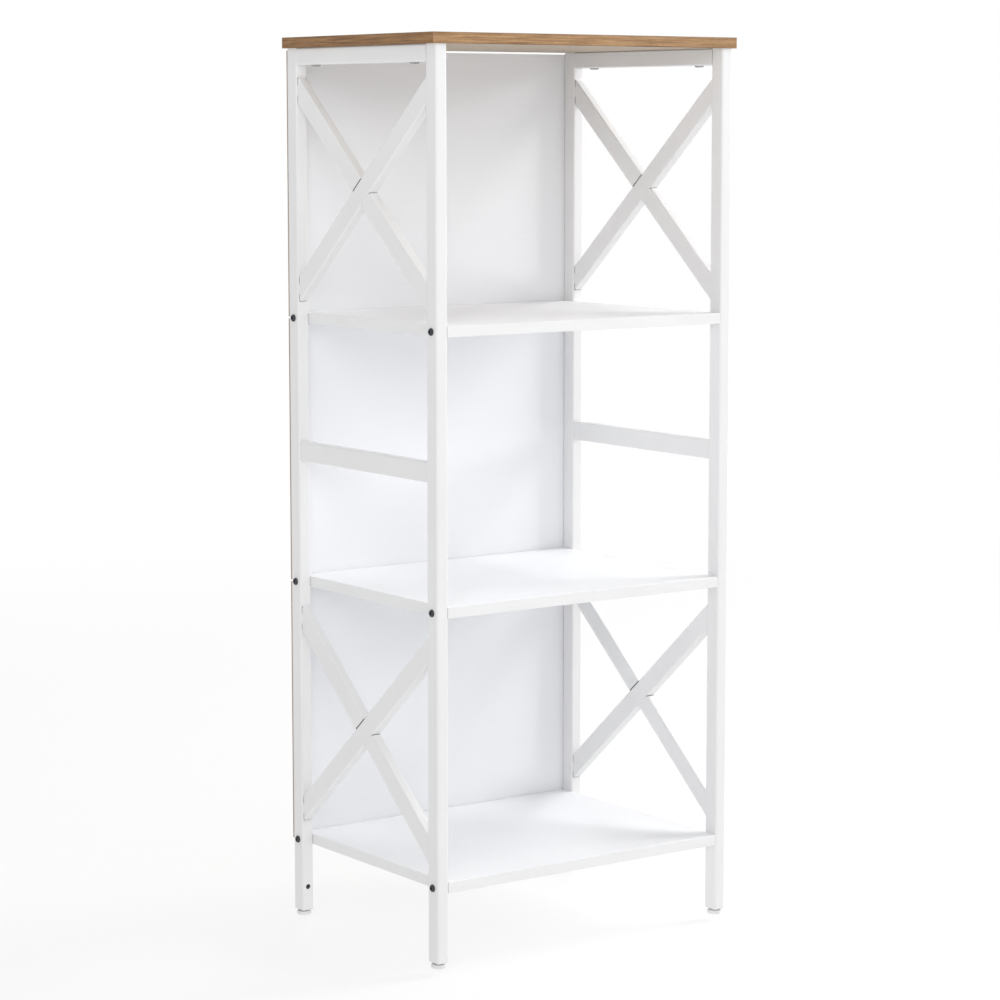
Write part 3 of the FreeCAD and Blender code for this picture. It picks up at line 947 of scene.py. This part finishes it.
@dataclass(frozen=True)
class CutPlane:
    """The plane that a tube's end is sawn on; the normal points out of the tube."""

    point: Vector
    normal: Vector


@dataclass(frozen=True)
class Stretcher:
    """A straight length of tube between two saw cuts, its end edges eased.

    The eased edge is ease long and ease_depth deep.  The near-black strip of painted
    seam shade lies seam_depth below the tube's faces.
    """

    tube: Tube
    middle: Vector
    along: Vector
    start: CutPlane
    end: CutPlane
    ease: float = 0.7 * MM
    ease_depth: float = 1.1 * MM
    seam_depth: float = 0.45 * MM

    def ring(self, inset: float, cut: CutPlane, back: float) -> list[Vector]:
        """The section where it meets a saw cut.

        Args:
            inset: How far the outline lies inside the tube's outer face.
            cut: The saw cut.
            back: How far behind the cut the ring lies.

        Returns:
            The ring's points.
        """
        along = self.along.normalized()
        across = Vector((1.0, 0.0, 0.0))
        over = along.cross(across)
        slant = along.dot(cut.normal)
        points = []
        for right, up in self.tube.section(inset):
            origin = self.middle + across * right + over * up
            travel = ((cut.point - origin).dot(cut.normal) - back) / slant
            points.append(origin + along * travel)
        return points

    def shape(self) -> Shape:
        """The tube as a closed, hollow shape."""
        wall = self.tube.wall
        rings = [
            self.ring(wall, self.start, 0.0),
            self.ring(self.ease_depth, self.start, 0.0),
            self.ring(0.0, self.start, self.ease),
            self.ring(0.0, self.end, self.ease),
            self.ring(self.ease_depth, self.end, 0.0),
            self.ring(wall, self.end, 0.0),
        ]
        return loft(rings, around=True)

    def seam_shade_strip(self, cut: CutPlane, width: float) -> Shape:
        """The near-black strip at the bottom of the seam beyond a cut: painted seam shade, coloured as
        bare steel.

        Args:
            cut: The saw cut, one of the tube's two.
            width: Width of the seam, square to the cut.

        Returns:
            A closed ring.
        """
        inner, outer = self.tube.wall, self.seam_depth
        corners = ((inner, 0.0), (outer, 0.0), (outer, -width), (inner, -width))
        return loft([self.ring(inset, cut, back) for inset, back in corners], around=True)


@dataclass(frozen=True)
class WeldBead:
    """A short weld that has been dressed back, so only low ripples show.

    Ripples repeat along the bead; each bows along it by ripple_bow of its length and
    swells the crest and the width by their shares, the width a little out of step.
    The ends taper to the root of least_taper, and the root is sunk into the tubes.
    """

    start: Vector
    end: Vector
    outward: Vector
    half_width: float = 1.5 * MM
    height: float = 0.4 * MM
    ripple: float = 2.1 * MM
    ripple_bow: float = 0.35
    crest_swell: float = 0.22
    width_swell: float = 0.05
    width_lag: float = 0.7
    least_taper: float = 0.02
    root_depth: float = 0.5 * MM
    root_share: float = 0.6
    step: float = 0.3 * MM
    arc_steps: int = 8

    def shape(self) -> Shape:
        """The bead as a closed shape."""
        run = self.end - self.start
        along = run.normalized()
        outward = self.outward.normalized()
        over = along.cross(outward)
        count = int(run.length / self.step)
        rings = []
        for k in range(count + 1):
            travel = run.length * k / count
            phase = TURN * travel / self.ripple
            taper = math.sqrt(max(1.0 - (2.0 * k / count - 1.0) ** 4, self.least_taper))
            crest = self.height * taper * (1.0 + self.crest_swell * math.sin(phase))
            half = self.half_width * taper * (1.0 + self.width_swell * math.sin(phase + self.width_lag))
            bow = self.ripple_bow * self.ripple * taper
            centre = self.start + along * travel
            ring = []
            for point in range(self.arc_steps + 1):
                angle = math.pi * point / self.arc_steps
                rise = along * bow + outward * crest
                ring.append(centre + over * (half * math.cos(angle)) + rise * math.sin(angle))
            for side in (-1, 1):
                foot = over * (side * self.root_share * half)
                ring.append(centre + foot - outward * self.root_depth)
            rings.append(ring)
        return loft(rings)


@dataclass(frozen=True)
class Cross:
    """The lines of one cross: a brace that falls to the rear and one that rises.

    The box is the falling brace's own, and deep is its tube's height.
    """

    low: Vector
    high: Vector
    deep: float

    @property
    def centre(self) -> Vector:
        """Where the braces cross."""
        return (self.low + self.high) / 2

    @property
    def slope(self) -> float:
        """Rise over run of the braces, from the box that one of them fills."""
        span = self.high.y - self.low.y
        rise = self.high.z - self.low.z
        spare = span**2 - self.deep**2
        root = math.sqrt((rise * span) ** 2 - spare * (rise**2 - self.deep**2))
        return (rise * span - root) / spare

    @property
    def falling(self) -> Vector:
        """The way that the full brace runs to the rear."""
        return Vector((0.0, 1.0, -self.slope)).normalized()

    @property
    def rising(self) -> Vector:
        """The way that the half braces run to the rear."""
        return Vector((0.0, 1.0, self.slope)).normalized()

    @property
    def flank(self) -> Vector:
        """The way that the full brace's upper face looks."""
        return Vector((0.0, self.slope, 1.0)).normalized()


@dataclass(frozen=True)
class SideFrame:
    """One welded side frame: two legs, a top rail, a middle bar and two crosses.

    The gaps are the open seams between tubes: gap where a rail or bar meets a leg,
    brace_gap where a brace does and seam where the half braces meet the full one.
    The beads are given by their lengths, those of a rail or bar as a share of its
    height, and the cap over a brace's upper end by its section.
    """

    side: Side
    rail: Tube = Tube(19.0 * MM, 25.0 * MM)
    brace: Tube = Tube(15.0 * MM, 30.0 * MM)
    seam: float = 0.5 * MM
    gap: float = 0.4 * MM
    brace_gap: float = 0.8 * MM
    rail_bead_share: float = 0.45
    brace_bead: float = 17.0 * MM
    crossing_bead: float = 25.5 * MM
    cap_half_width: float = 2.0 * MM
    cap_height: float = 0.6 * MM

    def node(self, part: str) -> str:
        """The CAD node of one of the frame's parts."""
        return f"{self.side.word}_{part}"

    def dress_legs(self) -> None:
        """Powder-coat the two legs, whose CAD shape stands as it is."""
        for end in End:
            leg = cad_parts[self.node(f"{end.word}_leg")]
            leg.data.materials[0] = POWDER.material()
            LOG.info("%s: CAD shape kept, powder coated", leg.name)

    def level_tube(self, part: str, tube: Tube) -> None:
        """Build the top rail or the middle bar, and the welds at its ends.

        Args:
            part: The part's name.
            tube: Its section.
        """
        name = self.node(part)
        low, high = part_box(name)
        middle = (low + high) / 2
        cuts = self.leg_cuts(middle, low.y + self.gap, high.y - self.gap)
        length = Stretcher(tube, middle, Vector((0.0, 1.0, 0.0)), *cuts)
        make_piece(f"{name}_tube", join_meshes(name, [length.shape()]), [POWDER], stands_for=[name])
        beads = []
        for cut in cuts:
            beads += self.end_welds(cut.point, self.rail_bead_share * tube.height, tube.width)
        make_piece(f"{name}_welds", join_meshes(f"{name}_welds", beads), [POWDER])

    def leg_cuts(self, middle: Vector, front: float, rear: float) -> tuple[CutPlane, CutPlane]:
        """Upright saw cuts at a tube's two ends.

        Args:
            middle: The tube's middle.
            front: Where the front end is.
            rear: Where the rear end is.

        Returns:
            The front and rear cuts.
        """
        front_cut = CutPlane(Vector((middle.x, front, middle.z)), Vector((0.0, -1.0, 0.0)))
        rear_cut = CutPlane(Vector((middle.x, rear, middle.z)), Vector((0.0, 1.0, 0.0)))
        return front_cut, rear_cut

    def side_welds(self, middle: Vector, half: Vector, width: float) -> list[Shape]:
        """Beads on the two side faces of a joint.

        Args:
            middle: The middle of the joint.
            half: Half of a bead's run.
            width: Width of the tube across X.

        Returns:
            The two beads.
        """
        beads = []
        for face in (-1, 1):
            point = middle + Vector((face * width / 2, 0.0, 0.0))
            beads.append(WeldBead(point - half, point + half, Vector((face, 0.0, 0.0))).shape())
        return beads

    def end_welds(self, joint: Vector, length: float, width: float) -> list[Shape]:
        """Upright beads beside a joint, leaving the seam open above and below them."""
        return self.side_welds(joint, UP * length / 2, width)

    def cap_weld(self, cross: Cross, y: float, inward: float) -> Shape:
        """A bead over the upper end of a brace, in the corner that it makes with a leg.

        Args:
            cross: The cross that the brace is in.
            y: Where the leg's face is.
            inward: The sign of Y that points from the leg to the cross.

        Returns:
            The bead.
        """
        middle = Vector((cross.centre.x, y, cross.high.z))
        half = Vector((self.brace.width / 2, 0.0, 0.0))
        brace_face = Vector((0.0, inward * cross.slope, 1.0)).normalized()
        outward = Vector((0.0, inward, 0.0)) + brace_face
        bead = WeldBead(middle - half, middle + half, outward, self.cap_half_width, self.cap_height)
        return bead.shape()

    def cross_welds(self, cross: Cross) -> list[Shape]:
        """All the beads of one cross, at its four ends and at its crossing.

        Args:
            cross: The cross.

        Returns:
            The beads.
        """
        beads = []
        centre = cross.centre
        half_rise = cross.slope * (cross.high.y - cross.low.y) / 2
        for y, inward in ((cross.low.y, 1.0), (cross.high.y, -1.0)):
            for rise in (half_rise, -half_rise):
                joint = Vector((centre.x, y, centre.z + rise))
                beads += self.end_welds(joint, self.brace_bead, self.brace.width)
            beads.append(self.cap_weld(cross, y, inward))
        reach = self.brace.height / 2
        slip = reach * cross.falling.dot(cross.rising) / cross.flank.dot(cross.rising)
        middle = centre - cross.flank * (reach + self.seam / 2) - cross.falling * slip
        half = cross.falling * self.crossing_bead / 2
        return beads + self.side_welds(middle, half, self.brace.width)

    def build_cross(self, bay: str) -> None:
        """Build one cross: a full brace and the two halves that meet it.

        Args:
            bay: The bay's name, upper or lower.
        """
        name = self.node(f"{bay}_brace")
        low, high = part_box(name)
        cross = Cross(low, high, self.brace.height)
        centre = cross.centre
        front, rear = self.leg_cuts(centre, low.y + self.brace_gap, high.y - self.brace_gap)
        reach = cross.flank * (self.brace.height / 2 + self.seam)
        upper_cut = CutPlane(centre + reach, -cross.flank)
        lower_cut = CutPlane(centre - reach, cross.flank)
        lengths = {
            name: Stretcher(self.brace, centre, cross.falling, front, rear),
            f"{name}_rear_half": Stretcher(self.brace, centre, cross.rising, upper_cut, rear),
            f"{name}_front_half": Stretcher(self.brace, centre, cross.rising, front, lower_cut),
        }
        # Near-black strips at the bottom of each seam are painted seam shade.
        seams = []
        for node, length in lengths.items():
            make_piece(f"{node}_tube", join_meshes(node, [length.shape()]), [POWDER], stands_for=[node])
            for cut in (length.start, length.end):
                width = self.brace_gap if cut in (front, rear) else self.seam
                seams.append(length.seam_shade_strip(cut, width))
        make_piece(f"{name}_seams", join_meshes(f"{name}_seams", seams), [SEAM_SHADE])
        beads = self.cross_welds(cross)
        make_piece(f"{name}_welds", join_meshes(f"{name}_welds", beads), [POWDER])

    def build(self) -> None:
        """Build and dress the whole side frame."""
        self.dress_legs()
        self.level_tube("top_rail", self.rail)
        self.level_tube("middle_bar", self.brace)
        for bay in ("upper", "lower"):
            self.build_cross(bay)


# --- Boards ---


def face_by_normal(mesh: bpy.types.Mesh, pick: Callable[[Vector], int]) -> None:
    """Give each face its material from the way it faces.

    Args:
        mesh: The mesh to change.
        pick: Returns a material index for a face's normal.
    """
    for face in mesh.polygons:
        face.material_index = pick(face.normal)


@dataclass(frozen=True)
class Shelf:
    """A white shelf: faced chipboard with banded edges and bands on its ends."""

    level: Level
    face_ease: float = 0.15 * MM
    band_ease: float = 0.45 * MM
    end_band: float = 0.8 * MM

    def build(self) -> None:
        """Build the board and its front and rear bands."""
        name = f"{self.level.value}_shelf"
        low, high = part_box(name)
        band = Vector((self.end_band, 0.0, 0.0))
        core = join_meshes(name, [block(low + band, high - band, self.face_ease)])
        make_piece(f"{name}_board", core, [SHELF_FACE], stands_for=[name])
        strips = []
        for near, far in ((low.x, low.x + self.end_band), (high.x - self.end_band, high.x)):
            strip_low = Vector((near, low.y, low.z))
            strip_high = Vector((far, high.y, high.z))
            strips.append(block(strip_low, strip_high, self.face_ease))
        make_piece(f"{name}_end_bands", join_meshes(f"{name}_ends", strips), [WHITE_BAND])
        for end in End:
            node = f"{name}_{end.word}_band"
            band = join_meshes(node, [block(*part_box(node), self.band_ease, steps=3)])
            make_piece(f"{node}_strip", band, [WHITE_BAND], stands_for=[node])


@dataclass(frozen=True)
class TopBoard:
    """The wood-look top: a faced board with a wood-look band on each edge."""

    face_ease: float = 0.15 * MM
    band_ease: float = 0.45 * MM

    def build(self) -> None:
        """Build the board and its four bands."""
        low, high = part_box("top_board")
        core = join_meshes("top_board", [block(low, high, self.face_ease)])
        face_by_normal(core, lambda normal: 1 if normal.z < -0.5 else 0)
        make_piece("top_board_panel", core, [OAK_TOP, PAPER], stands_for=["top_board"])
        heights = (low.z, high.z)
        long_grain = OakPrint("oak_band_long", "oak_edge_band", edges=heights)
        short_grain = OakPrint(
            "oak_band_short",
            "oak_edge_band",
            grain=Grain.DEEP,
            pale=(0.37, 0.205, 0.085),
            middle=(0.285, 0.146, 0.053),
            dark=(0.19, 0.09, 0.03),
            edges=heights,
        )
        finishes = {"front": long_grain, "rear": long_grain, "left": short_grain, "right": short_grain}
        for edge, finish in finishes.items():
            node = f"top_{edge}_edge_band"
            band = join_meshes(node, [block(*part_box(node), self.band_ease, steps=3)])
            make_piece(f"{node}_strip", band, [finish], stands_for=[node])


@dataclass(frozen=True)
class BackPanel:
    """A thin back panel: lacquered white in front, bare fibreboard elsewhere."""

    level: Level
    ease: float = 0.25 * MM
    stand_off: float = 0.4 * MM

    def build(self) -> None:
        """Build the panel, a hair behind the legs so that its joint shows as a line."""
        node = f"back_panel_{self.level.value}"
        low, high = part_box(node)
        panel = join_meshes(node, [block(low + Vector((0.0, self.stand_off, 0.0)), high, self.ease)])
        face_by_normal(panel, lambda normal: 0 if normal.y < -0.5 else 1)
        make_piece(f"{node}_sheet", panel, [PANEL_FACE, RAW_BOARD], stands_for=[node])


# --- Fasteners ---


@dataclass(frozen=True)
class Screw:
    """A turned fastener with a domed head and a driver recess.

    The head stands on the seat and the shank runs back along the axis.  The dome ends
    at a flat crown round the recess, and the recess ends in a shallow cone.
    """

    head: float
    head_height: float
    rim: float
    shank: float
    length: float
    tip: float
    recess: Outline
    recess_size: float
    recess_depth: float
    corners: tuple[float, ...]
    tip_share: float = 0.3
    neck: float = 0.4 * MM
    neck_flare: float = 0.3 * MM
    lip: float = 0.12 * MM
    crown_share: float = 1.35
    recess_lead: float = 0.2 * MM
    cone_depth: float = 0.25 * MM
    cone_share: float = 0.12

    def shape(self, seat: Vector, axis: Vector) -> Shape:
        """Build the fastener.

        Args:
            seat: Where the underside of the head bears.
            axis: The way that the head points.

        Returns:
            A closed shape.
        """
        shank = self.shank / 2
        head = self.head / 2
        crown = self.crown_share * self.recess_size
        bottom = self.head_height - self.recess_depth
        profile = [
            (circle(self.tip_share * shank), -self.length),
            (circle(shank), -self.length + self.tip),
            (circle(shank), -self.neck),
            (circle(shank + self.neck_flare), 0.0),
            (circle(head - self.lip), 0.0),
            (circle(head), self.lip),
        ]
        profile += round_over((head, self.rim), (crown, self.head_height))
        profile += [
            (self.recess, self.head_height - self.recess_lead),
            (self.recess, bottom),
            (circle(self.cone_share * self.recess_size), bottom - self.cone_depth),
        ]
        return Lathe(seat, axis, corners=self.corners).shape(profile)


def sixths(offset: float) -> tuple[float, ...]:
    """Six angles, evenly spaced."""
    return tuple(offset + k * math.pi / 3 for k in range(6))


def cross_corners(reach: float, half_width: float) -> tuple[float, ...]:
    """Angles of a cross recess's outer and inner corners.

    Args:
        reach: Middle to the end of an arm.
        half_width: Half the width of an arm.

    Returns:
        The angles.
    """
    small = math.atan2(half_width, reach)
    quarter = [k * math.pi / 2 for k in range(4)]
    return tuple(q + turn for q in quarter for turn in (-small, small, math.pi / 4))


SHELF_BOLT = Screw(
    head=10.8 * MM,
    head_height=3.3 * MM,
    rim=0.6 * MM,
    shank=5.9 * MM,
    length=32.0 * MM,
    tip=0.8 * MM,
    recess=hexagon(4.0 * MM),
    recess_size=2.31 * MM,
    recess_depth=2.2 * MM,
    corners=sixths(math.pi / 6),
)
RAIL_SCREW = Screw(
    head=14.0 * MM,
    head_height=2.6 * MM,
    rim=0.8 * MM,
    shank=4.2 * MM,
    length=37.0 * MM,
    tip=1.6 * MM,
    recess=cross(2.6 * MM, 0.55 * MM),
    recess_size=2.66 * MM,
    recess_depth=1.6 * MM,
    corners=cross_corners(2.6 * MM, 0.55 * MM),
)
PANEL_SCREW = Screw(
    head=7.0 * MM,
    head_height=1.8 * MM,
    rim=0.5 * MM,
    shank=3.0 * MM,
    length=13.0 * MM,
    tip=1.2 * MM,
    recess=cross(1.7 * MM, 0.4 * MM),
    recess_size=1.75 * MM,
    recess_depth=1.2 * MM,
    corners=cross_corners(1.7 * MM, 0.4 * MM),
)


def plan_middle(node: str) -> Vector:
    """The middle of a node's box, at floor level."""
    low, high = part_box(node)
    return Vector(((low.x + high.x) / 2, (low.y + high.y) / 2, 0.0))


@dataclass(frozen=True)
class Fixings:
    """All the screws, bolts and inserts, seated where the CAD groups have them."""

    rail_screw_offset: float = 130.0 * MM
    panel_screw_inset: float = 30.0 * MM

    def shelf_bolts(self, level: Level) -> None:
        """Four button-head bolts through the legs into a shelf's ends.

        Args:
            level: The shelf that they hold.
        """
        node = f"{level.value}_shelf_bolts"
        low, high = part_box(node)
        height = (low.z + high.z) / 2
        bolts = []
        for side in Side:
            for end in End:
                leg = plan_middle(f"{side.word}_{end.word}_leg")
                seat = Vector((side.value * (high.x - SHELF_BOLT.head_height), leg.y, height))
                bolts.append(SHELF_BOLT.shape(seat, Vector((side.value, 0.0, 0.0))))
        make_piece(f"{node}_set", join_meshes(node, bolts), [BLACK_STEEL], stands_for=[node])

    def shelf_inserts(self, level: Level) -> None:
        """Zinc-plate a shelf's inserts, whose CAD shape stands as it is.

        Args:
            level: The shelf that they are in.
        """
        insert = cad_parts[f"{level.value}_shelf_inserts"]
        insert.data.materials[0] = ZINC_STEEL.material()
        LOG.info("%s: CAD shape kept, zinc plated", insert.name)

    def rail_screws(self) -> None:
        """Truss-head screws up through the top rails."""
        node = "top_board_screws"
        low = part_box(node)[0]
        screws = []
        for side in Side:
            rail = plan_middle(f"{side.word}_top_rail")
            for end in End:
                y = rail.y + end.value * self.rail_screw_offset
                seat = Vector((rail.x, y, low.z + RAIL_SCREW.head_height))
                screws.append(RAIL_SCREW.shape(seat, -UP))
        make_piece(f"{node}_set", join_meshes(node, screws), [NICKEL_STEEL], stands_for=[node])

    def panel_screws(self) -> None:
        """Small screws through the back panels into the rear legs."""
        node = "back_panel_screws"
        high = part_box(node)[1]
        screws = []
        for level in Level:
            panel_low, panel_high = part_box(f"back_panel_{level.value}")
            for side in Side:
                leg = plan_middle(f"{side.word}_rear_leg")
                for z in (panel_low.z + self.panel_screw_inset, panel_high.z - self.panel_screw_inset):
                    seat = Vector((leg.x, high.y - PANEL_SCREW.head_height, z))
                    screws.append(PANEL_SCREW.shape(seat, Vector((0.0, 1.0, 0.0))))
        make_piece(f"{node}_set", join_meshes(node, screws), [ZINC_STEEL], stands_for=[node])

    def build(self) -> None:
        """Build every fastener."""
        for level in Level:
            self.shelf_bolts(level)
            self.shelf_inserts(level)
        self.rail_screws()
        self.panel_screws()


# --- Levelling feet ---


@dataclass(frozen=True)
class LegPlug:
    """The end plug of a leg: an eased flange under the tube and a body inside it."""

    side: Side
    end: End
    flange: Tube = Tube(19.0 * MM, 25.0 * MM)
    flange_height: float = 1.5 * MM
    flange_ease: float = 0.7 * MM
    wall: float = 1.25 * MM
    lead_length: float = 1.0 * MM
    lead: float = 0.6 * MM
    bore: float = 4.0 * MM

    def build(self) -> None:
        """Build the plug."""
        node = f"{self.side.word}_{self.end.word}_leg_plug"
        low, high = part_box(node)
        middle = plan_middle(node)
        flange_top = low.z + self.flange_height
        levels = (
            (self.flange_ease, low.z),
            (0.0, low.z + self.flange_ease),
            (0.0, flange_top),
            (self.wall, flange_top),
            (self.wall, high.z - self.lead_length),
            (self.wall + self.lead, high.z),
        )
        rings = []
        for inset, z in levels:
            rings.append([middle + Vector((x, y, z)) for x, y in self.flange.section(inset)])
        for z in (high.z, low.z):
            spokes = [Vector((x, y, 0.0)).normalized() for x, y in self.flange.section()]
            rings.append([middle + spoke * self.bore + UP * z for spoke in spokes])
        plug = join_meshes(node, [loft(rings, around=True)])
        make_piece(f"{node}_moulding", plug, [PLASTIC], stands_for=[node])


@dataclass(frozen=True)
class FootStud:
    """A foot's screwed stud, with the chamfered hexagon collar that turns it.

    The collar's corners are turned off at collar_corner, and its chamfers run down to
    collar_face.  The thread stops short of the stud's end by run_out.
    """

    side: Side
    end: End
    radius: float = 3.95 * MM
    collar: float = 13.0 * MM
    collar_height: float = 2.0 * MM
    collar_corner: float = 7.35 * MM
    collar_face: float = 6.85 * MM
    chamfer: float = 0.35 * MM
    pitch: float = 1.25 * MM
    thread_depth: float = 0.62 * MM
    rings_per_pitch: int = 8
    run_out: float = 1.2 * MM
    tip_length: float = 0.8 * MM
    tip_taper: float = 0.5 * MM

    def thread(self, height: float) -> Outline:
        """Outline of the screwed part.

        Args:
            height: A place on the stud.

        Returns:
            The radius at each angle, at that place.
        """
        root = self.radius - self.thread_depth

        def at(angle: float) -> float:
            """Radius at an angle."""
            phase = (height / self.pitch - angle / TURN) % 1.0
            return root + self.thread_depth * min(1.0, 1.5 * abs(2.0 * phase - 1.0))

        return at

    def profile(self, bottom: float, pad_top: float, top: float) -> Profile:
        """The stud's outlines from its foot to its end.

        Args:
            bottom: Where the stud starts, inside the pad.
            pad_top: Where the collar rests on the pad.
            top: The stud's upper end.

        Returns:
            The outlines and their heights.
        """
        root = circle(self.radius - self.thread_depth)
        face = hexagon(self.collar, self.collar_face)
        full = hexagon(self.collar, self.collar_corner)
        collar_top = pad_top + self.collar_height
        profile: Profile = [
            (circle(self.radius), bottom),
            (circle(self.radius), pad_top),
            (face, pad_top),
            (full, pad_top + self.chamfer),
            (full, collar_top - self.chamfer),
            (face, collar_top),
            (root, collar_top),
        ]
        rise = self.pitch / self.rings_per_pitch
        for k in range(1, int((top - collar_top - self.run_out) / rise) + 1):
            height = collar_top + k * rise
            profile.append((self.thread(height), height))
        blunt = circle(self.radius - self.thread_depth - self.tip_taper)
        return profile + [(root, top - self.tip_length), (blunt, top)]

    def build(self) -> None:
        """Build the stud, which moves with its foot."""
        foot = f"{self.side.word}_{self.end.word}_foot"
        node = f"{foot}_stud"
        low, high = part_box(node)
        profile = self.profile(low.z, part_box(f"{foot}_pad")[1].z, high.z)
        lathe = Lathe(plan_middle(node), UP, sides=36, corners=sixths(math.pi / 6))
        stud = join_meshes(node, [lathe.shape(profile)])
        make_piece(f"{node}_screw", stud, [ZINC_STEEL], body=foot, stands_for=[node], crease=30.0)


@dataclass(frozen=True)
class FootPad:
    """A foot's round pad: recessed and bevelled sole, mould line, rounded shoulder.

    Each pair gives how far in from the rim and how far up from the sole a point lies;
    the dimple's pairs give a radius and a depth below the top.
    """

    side: Side
    end: End
    sole: tuple[Span, ...] = (
        (4.8 * MM, 0.5 * MM),
        (4.2 * MM, 0.0),
        (1.6 * MM, 0.0),
        (0.15 * MM, 1.45 * MM),
        (0.0, 1.8 * MM),
    )
    mould_line: tuple[Span, ...] = (
        (0.0, 3.4 * MM),
        (0.18 * MM, 3.5 * MM),
        (0.18 * MM, 3.7 * MM),
        (0.0, 3.8 * MM),
    )
    shoulder: Span = (1.8 * MM, 1.4 * MM)
    dimple: tuple[Span, ...] = ((6.6 * MM, 0.0), (6.3 * MM, 0.3 * MM), (3.95 * MM, 0.3 * MM))

    def build(self) -> None:
        """Build the pad, which moves with its foot."""
        foot = f"{self.side.word}_{self.end.word}_foot"
        node = f"{foot}_pad"
        low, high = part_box(node)
        rim = (high.x - low.x) / 2
        width, drop = self.shoulder
        profile = [(circle(rim - inset), low.z + rise) for inset, rise in self.sole + self.mould_line]
        profile += round_over((rim, high.z - drop), (rim - width, high.z))
        profile += [(circle(radius), high.z - depth) for radius, depth in self.dimple]
        lathe = Lathe(plan_middle(node), UP, sides=64)
        pad = join_meshes(node, [lathe.shape(profile)])
        make_piece(f"{node}_moulding", pad, [PLASTIC], body=foot, stands_for=[node])


# --- Studio ---


@dataclass(frozen=True)
class SoftBox:
    """A square soft light aimed at a point."""

    name: str
    place: tuple[float, float, float]
    aim: tuple[float, float, float]
    size: float
    power: float

    def build(self) -> None:
        """Hang the light."""
        light = bpy.data.lights.new(self.name, "AREA")
        light.shape = "SQUARE"
        light.size = self.size
        light.energy = self.power
        towards = Vector(self.aim) - Vector(self.place)
        holder = bpy.data.objects.new(self.name, light)
        holder.location = self.place
        holder.rotation_euler = towards.to_track_quat("-Z", "Y").to_euler()
        bpy.context.scene.collection.objects.link(holder)


@dataclass(frozen=True)
class Studio:
    """White studio: pale floor, soft surrounding light, soft boxes and the camera."""

    camera_place: tuple[float, float, float] = (-2.6556, -3.6692, 1.2218)
    camera_turn: float = 35.72
    camera_tilt: float = -7.25
    lens: float = 107.9
    surround: tuple[float, float, float, float, float] = (0.42, 0.52, 0.45, 0.81, 0.38)
    floor_size: float = 60.0
    floor_drop: float = 10.2 * MM
    lights: tuple[SoftBox, ...] = (
        SoftBox("overhead", (0.0, -0.4, 4.0), (0.0, 0.0, 0.6), 3.0, 33.0),
        SoftBox("key_right", (3.8, -0.8, 2.6), (0.0, 0.0, 0.8), 2.0, 150.0),
        SoftBox("front_left", (-2.6, -3.0, 2.6), (0.0, 0.0, 0.7), 2.0, 36.0),
        SoftBox("rear_right", (3.0, 2.4, 3.4), (0.0, 0.0, 0.8), 2.0, 29.0),
    )

    def build_floor(self) -> None:
        """Lay the pale floor where it clears the feet when they are screwed right out."""
        shape = bmesh.new()
        bmesh.ops.create_grid(shape, x_segments=8, y_segments=8, size=self.floor_size / 2)
        mesh = bpy.data.meshes.new("studio_floor")
        shape.to_mesh(mesh)
        shape.free()
        mesh.materials.append(FLOOR.material())
        floor = bpy.data.objects.new("studio_floor", mesh)
        floor.location.z = -self.floor_drop
        bpy.context.scene.collection.objects.link(floor)

    def build_surround(self) -> None:
        """Surround the scene with soft light, plain white where it is seen directly.

        The levels are those to the right, left, rear and front and overhead, and they
        blend into each other by direction.
        """
        world = bpy.data.worlds.new("studio")
        world.use_nodes = True
        wiring = Wiring(world.node_tree)
        split = wiring.add("ShaderNodeSeparateXYZ")
        place = wiring.add("ShaderNodeTexCoord").outputs["Generated"]
        wiring.join(place, split.inputs["Vector"])
        right, left, rear, front, above = self.surround
        total = 0.0
        for axis, ahead, behind in (("X", right, left), ("Y", rear, front), ("Z", above, 0.0)):
            along = split.outputs[axis]
            positive = wiring.combine("GREATER_THAN", along, 0.0)
            level = wiring.combine("MULTIPLY_ADD", positive, ahead - behind, behind)
            squared = wiring.combine("MULTIPLY", along, along)
            total = wiring.combine("MULTIPLY_ADD", squared, level, total)
        seen = wiring.add("ShaderNodeLightPath").outputs["Is Camera Ray"]
        unseen = wiring.combine("SUBTRACT", 1.0, seen)
        background = world.node_tree.nodes["Background"]
        background.inputs["Color"].default_value = (*WHITE, 1.0)
        strength = wiring.combine("MULTIPLY_ADD", total, unseen, seen)
        wiring.join(strength, background.inputs["Strength"])
        bpy.context.scene.world = world

    def build_camera(self) -> None:
        """Set up the camera."""
        data = bpy.data.cameras.new("camera")
        data.lens = self.lens
        data.sensor_width = 36.0
        data.clip_end = 200.0
        camera = bpy.data.objects.new("camera", data)
        camera.location = self.camera_place
        turn = (math.radians(90.0 + self.camera_tilt), 0.0, math.radians(-self.camera_turn))
        camera.rotation_euler = Euler(turn)
        bpy.context.scene.collection.objects.link(camera)
        bpy.context.scene.camera = camera

    def build(self) -> None:
        """Build the whole studio."""
        self.build_floor()
        self.build_surround()
        for light in self.lights:
            light.build()
        self.build_camera()
        settings = bpy.context.scene.view_settings
        settings.view_transform = "Standard"
        settings.look = "None"


def main() -> None:
    """Build every sub-assembly in order, then the studio."""
    logging.basicConfig(level=logging.INFO, format="%(name)s %(message)s")
    for side in Side:
        SideFrame(side).build()
    for level in Level:
        Shelf(level).build()
        BackPanel(level).build()
    TopBoard().build()
    Fixings().build()
    for side in Side:
        for end in End:
            LegPlug(side, end).build()
            FootStud(side, end).build()
            FootPad(side, end).build()
    Studio().build()


if __name__ == "__main__":
    main()
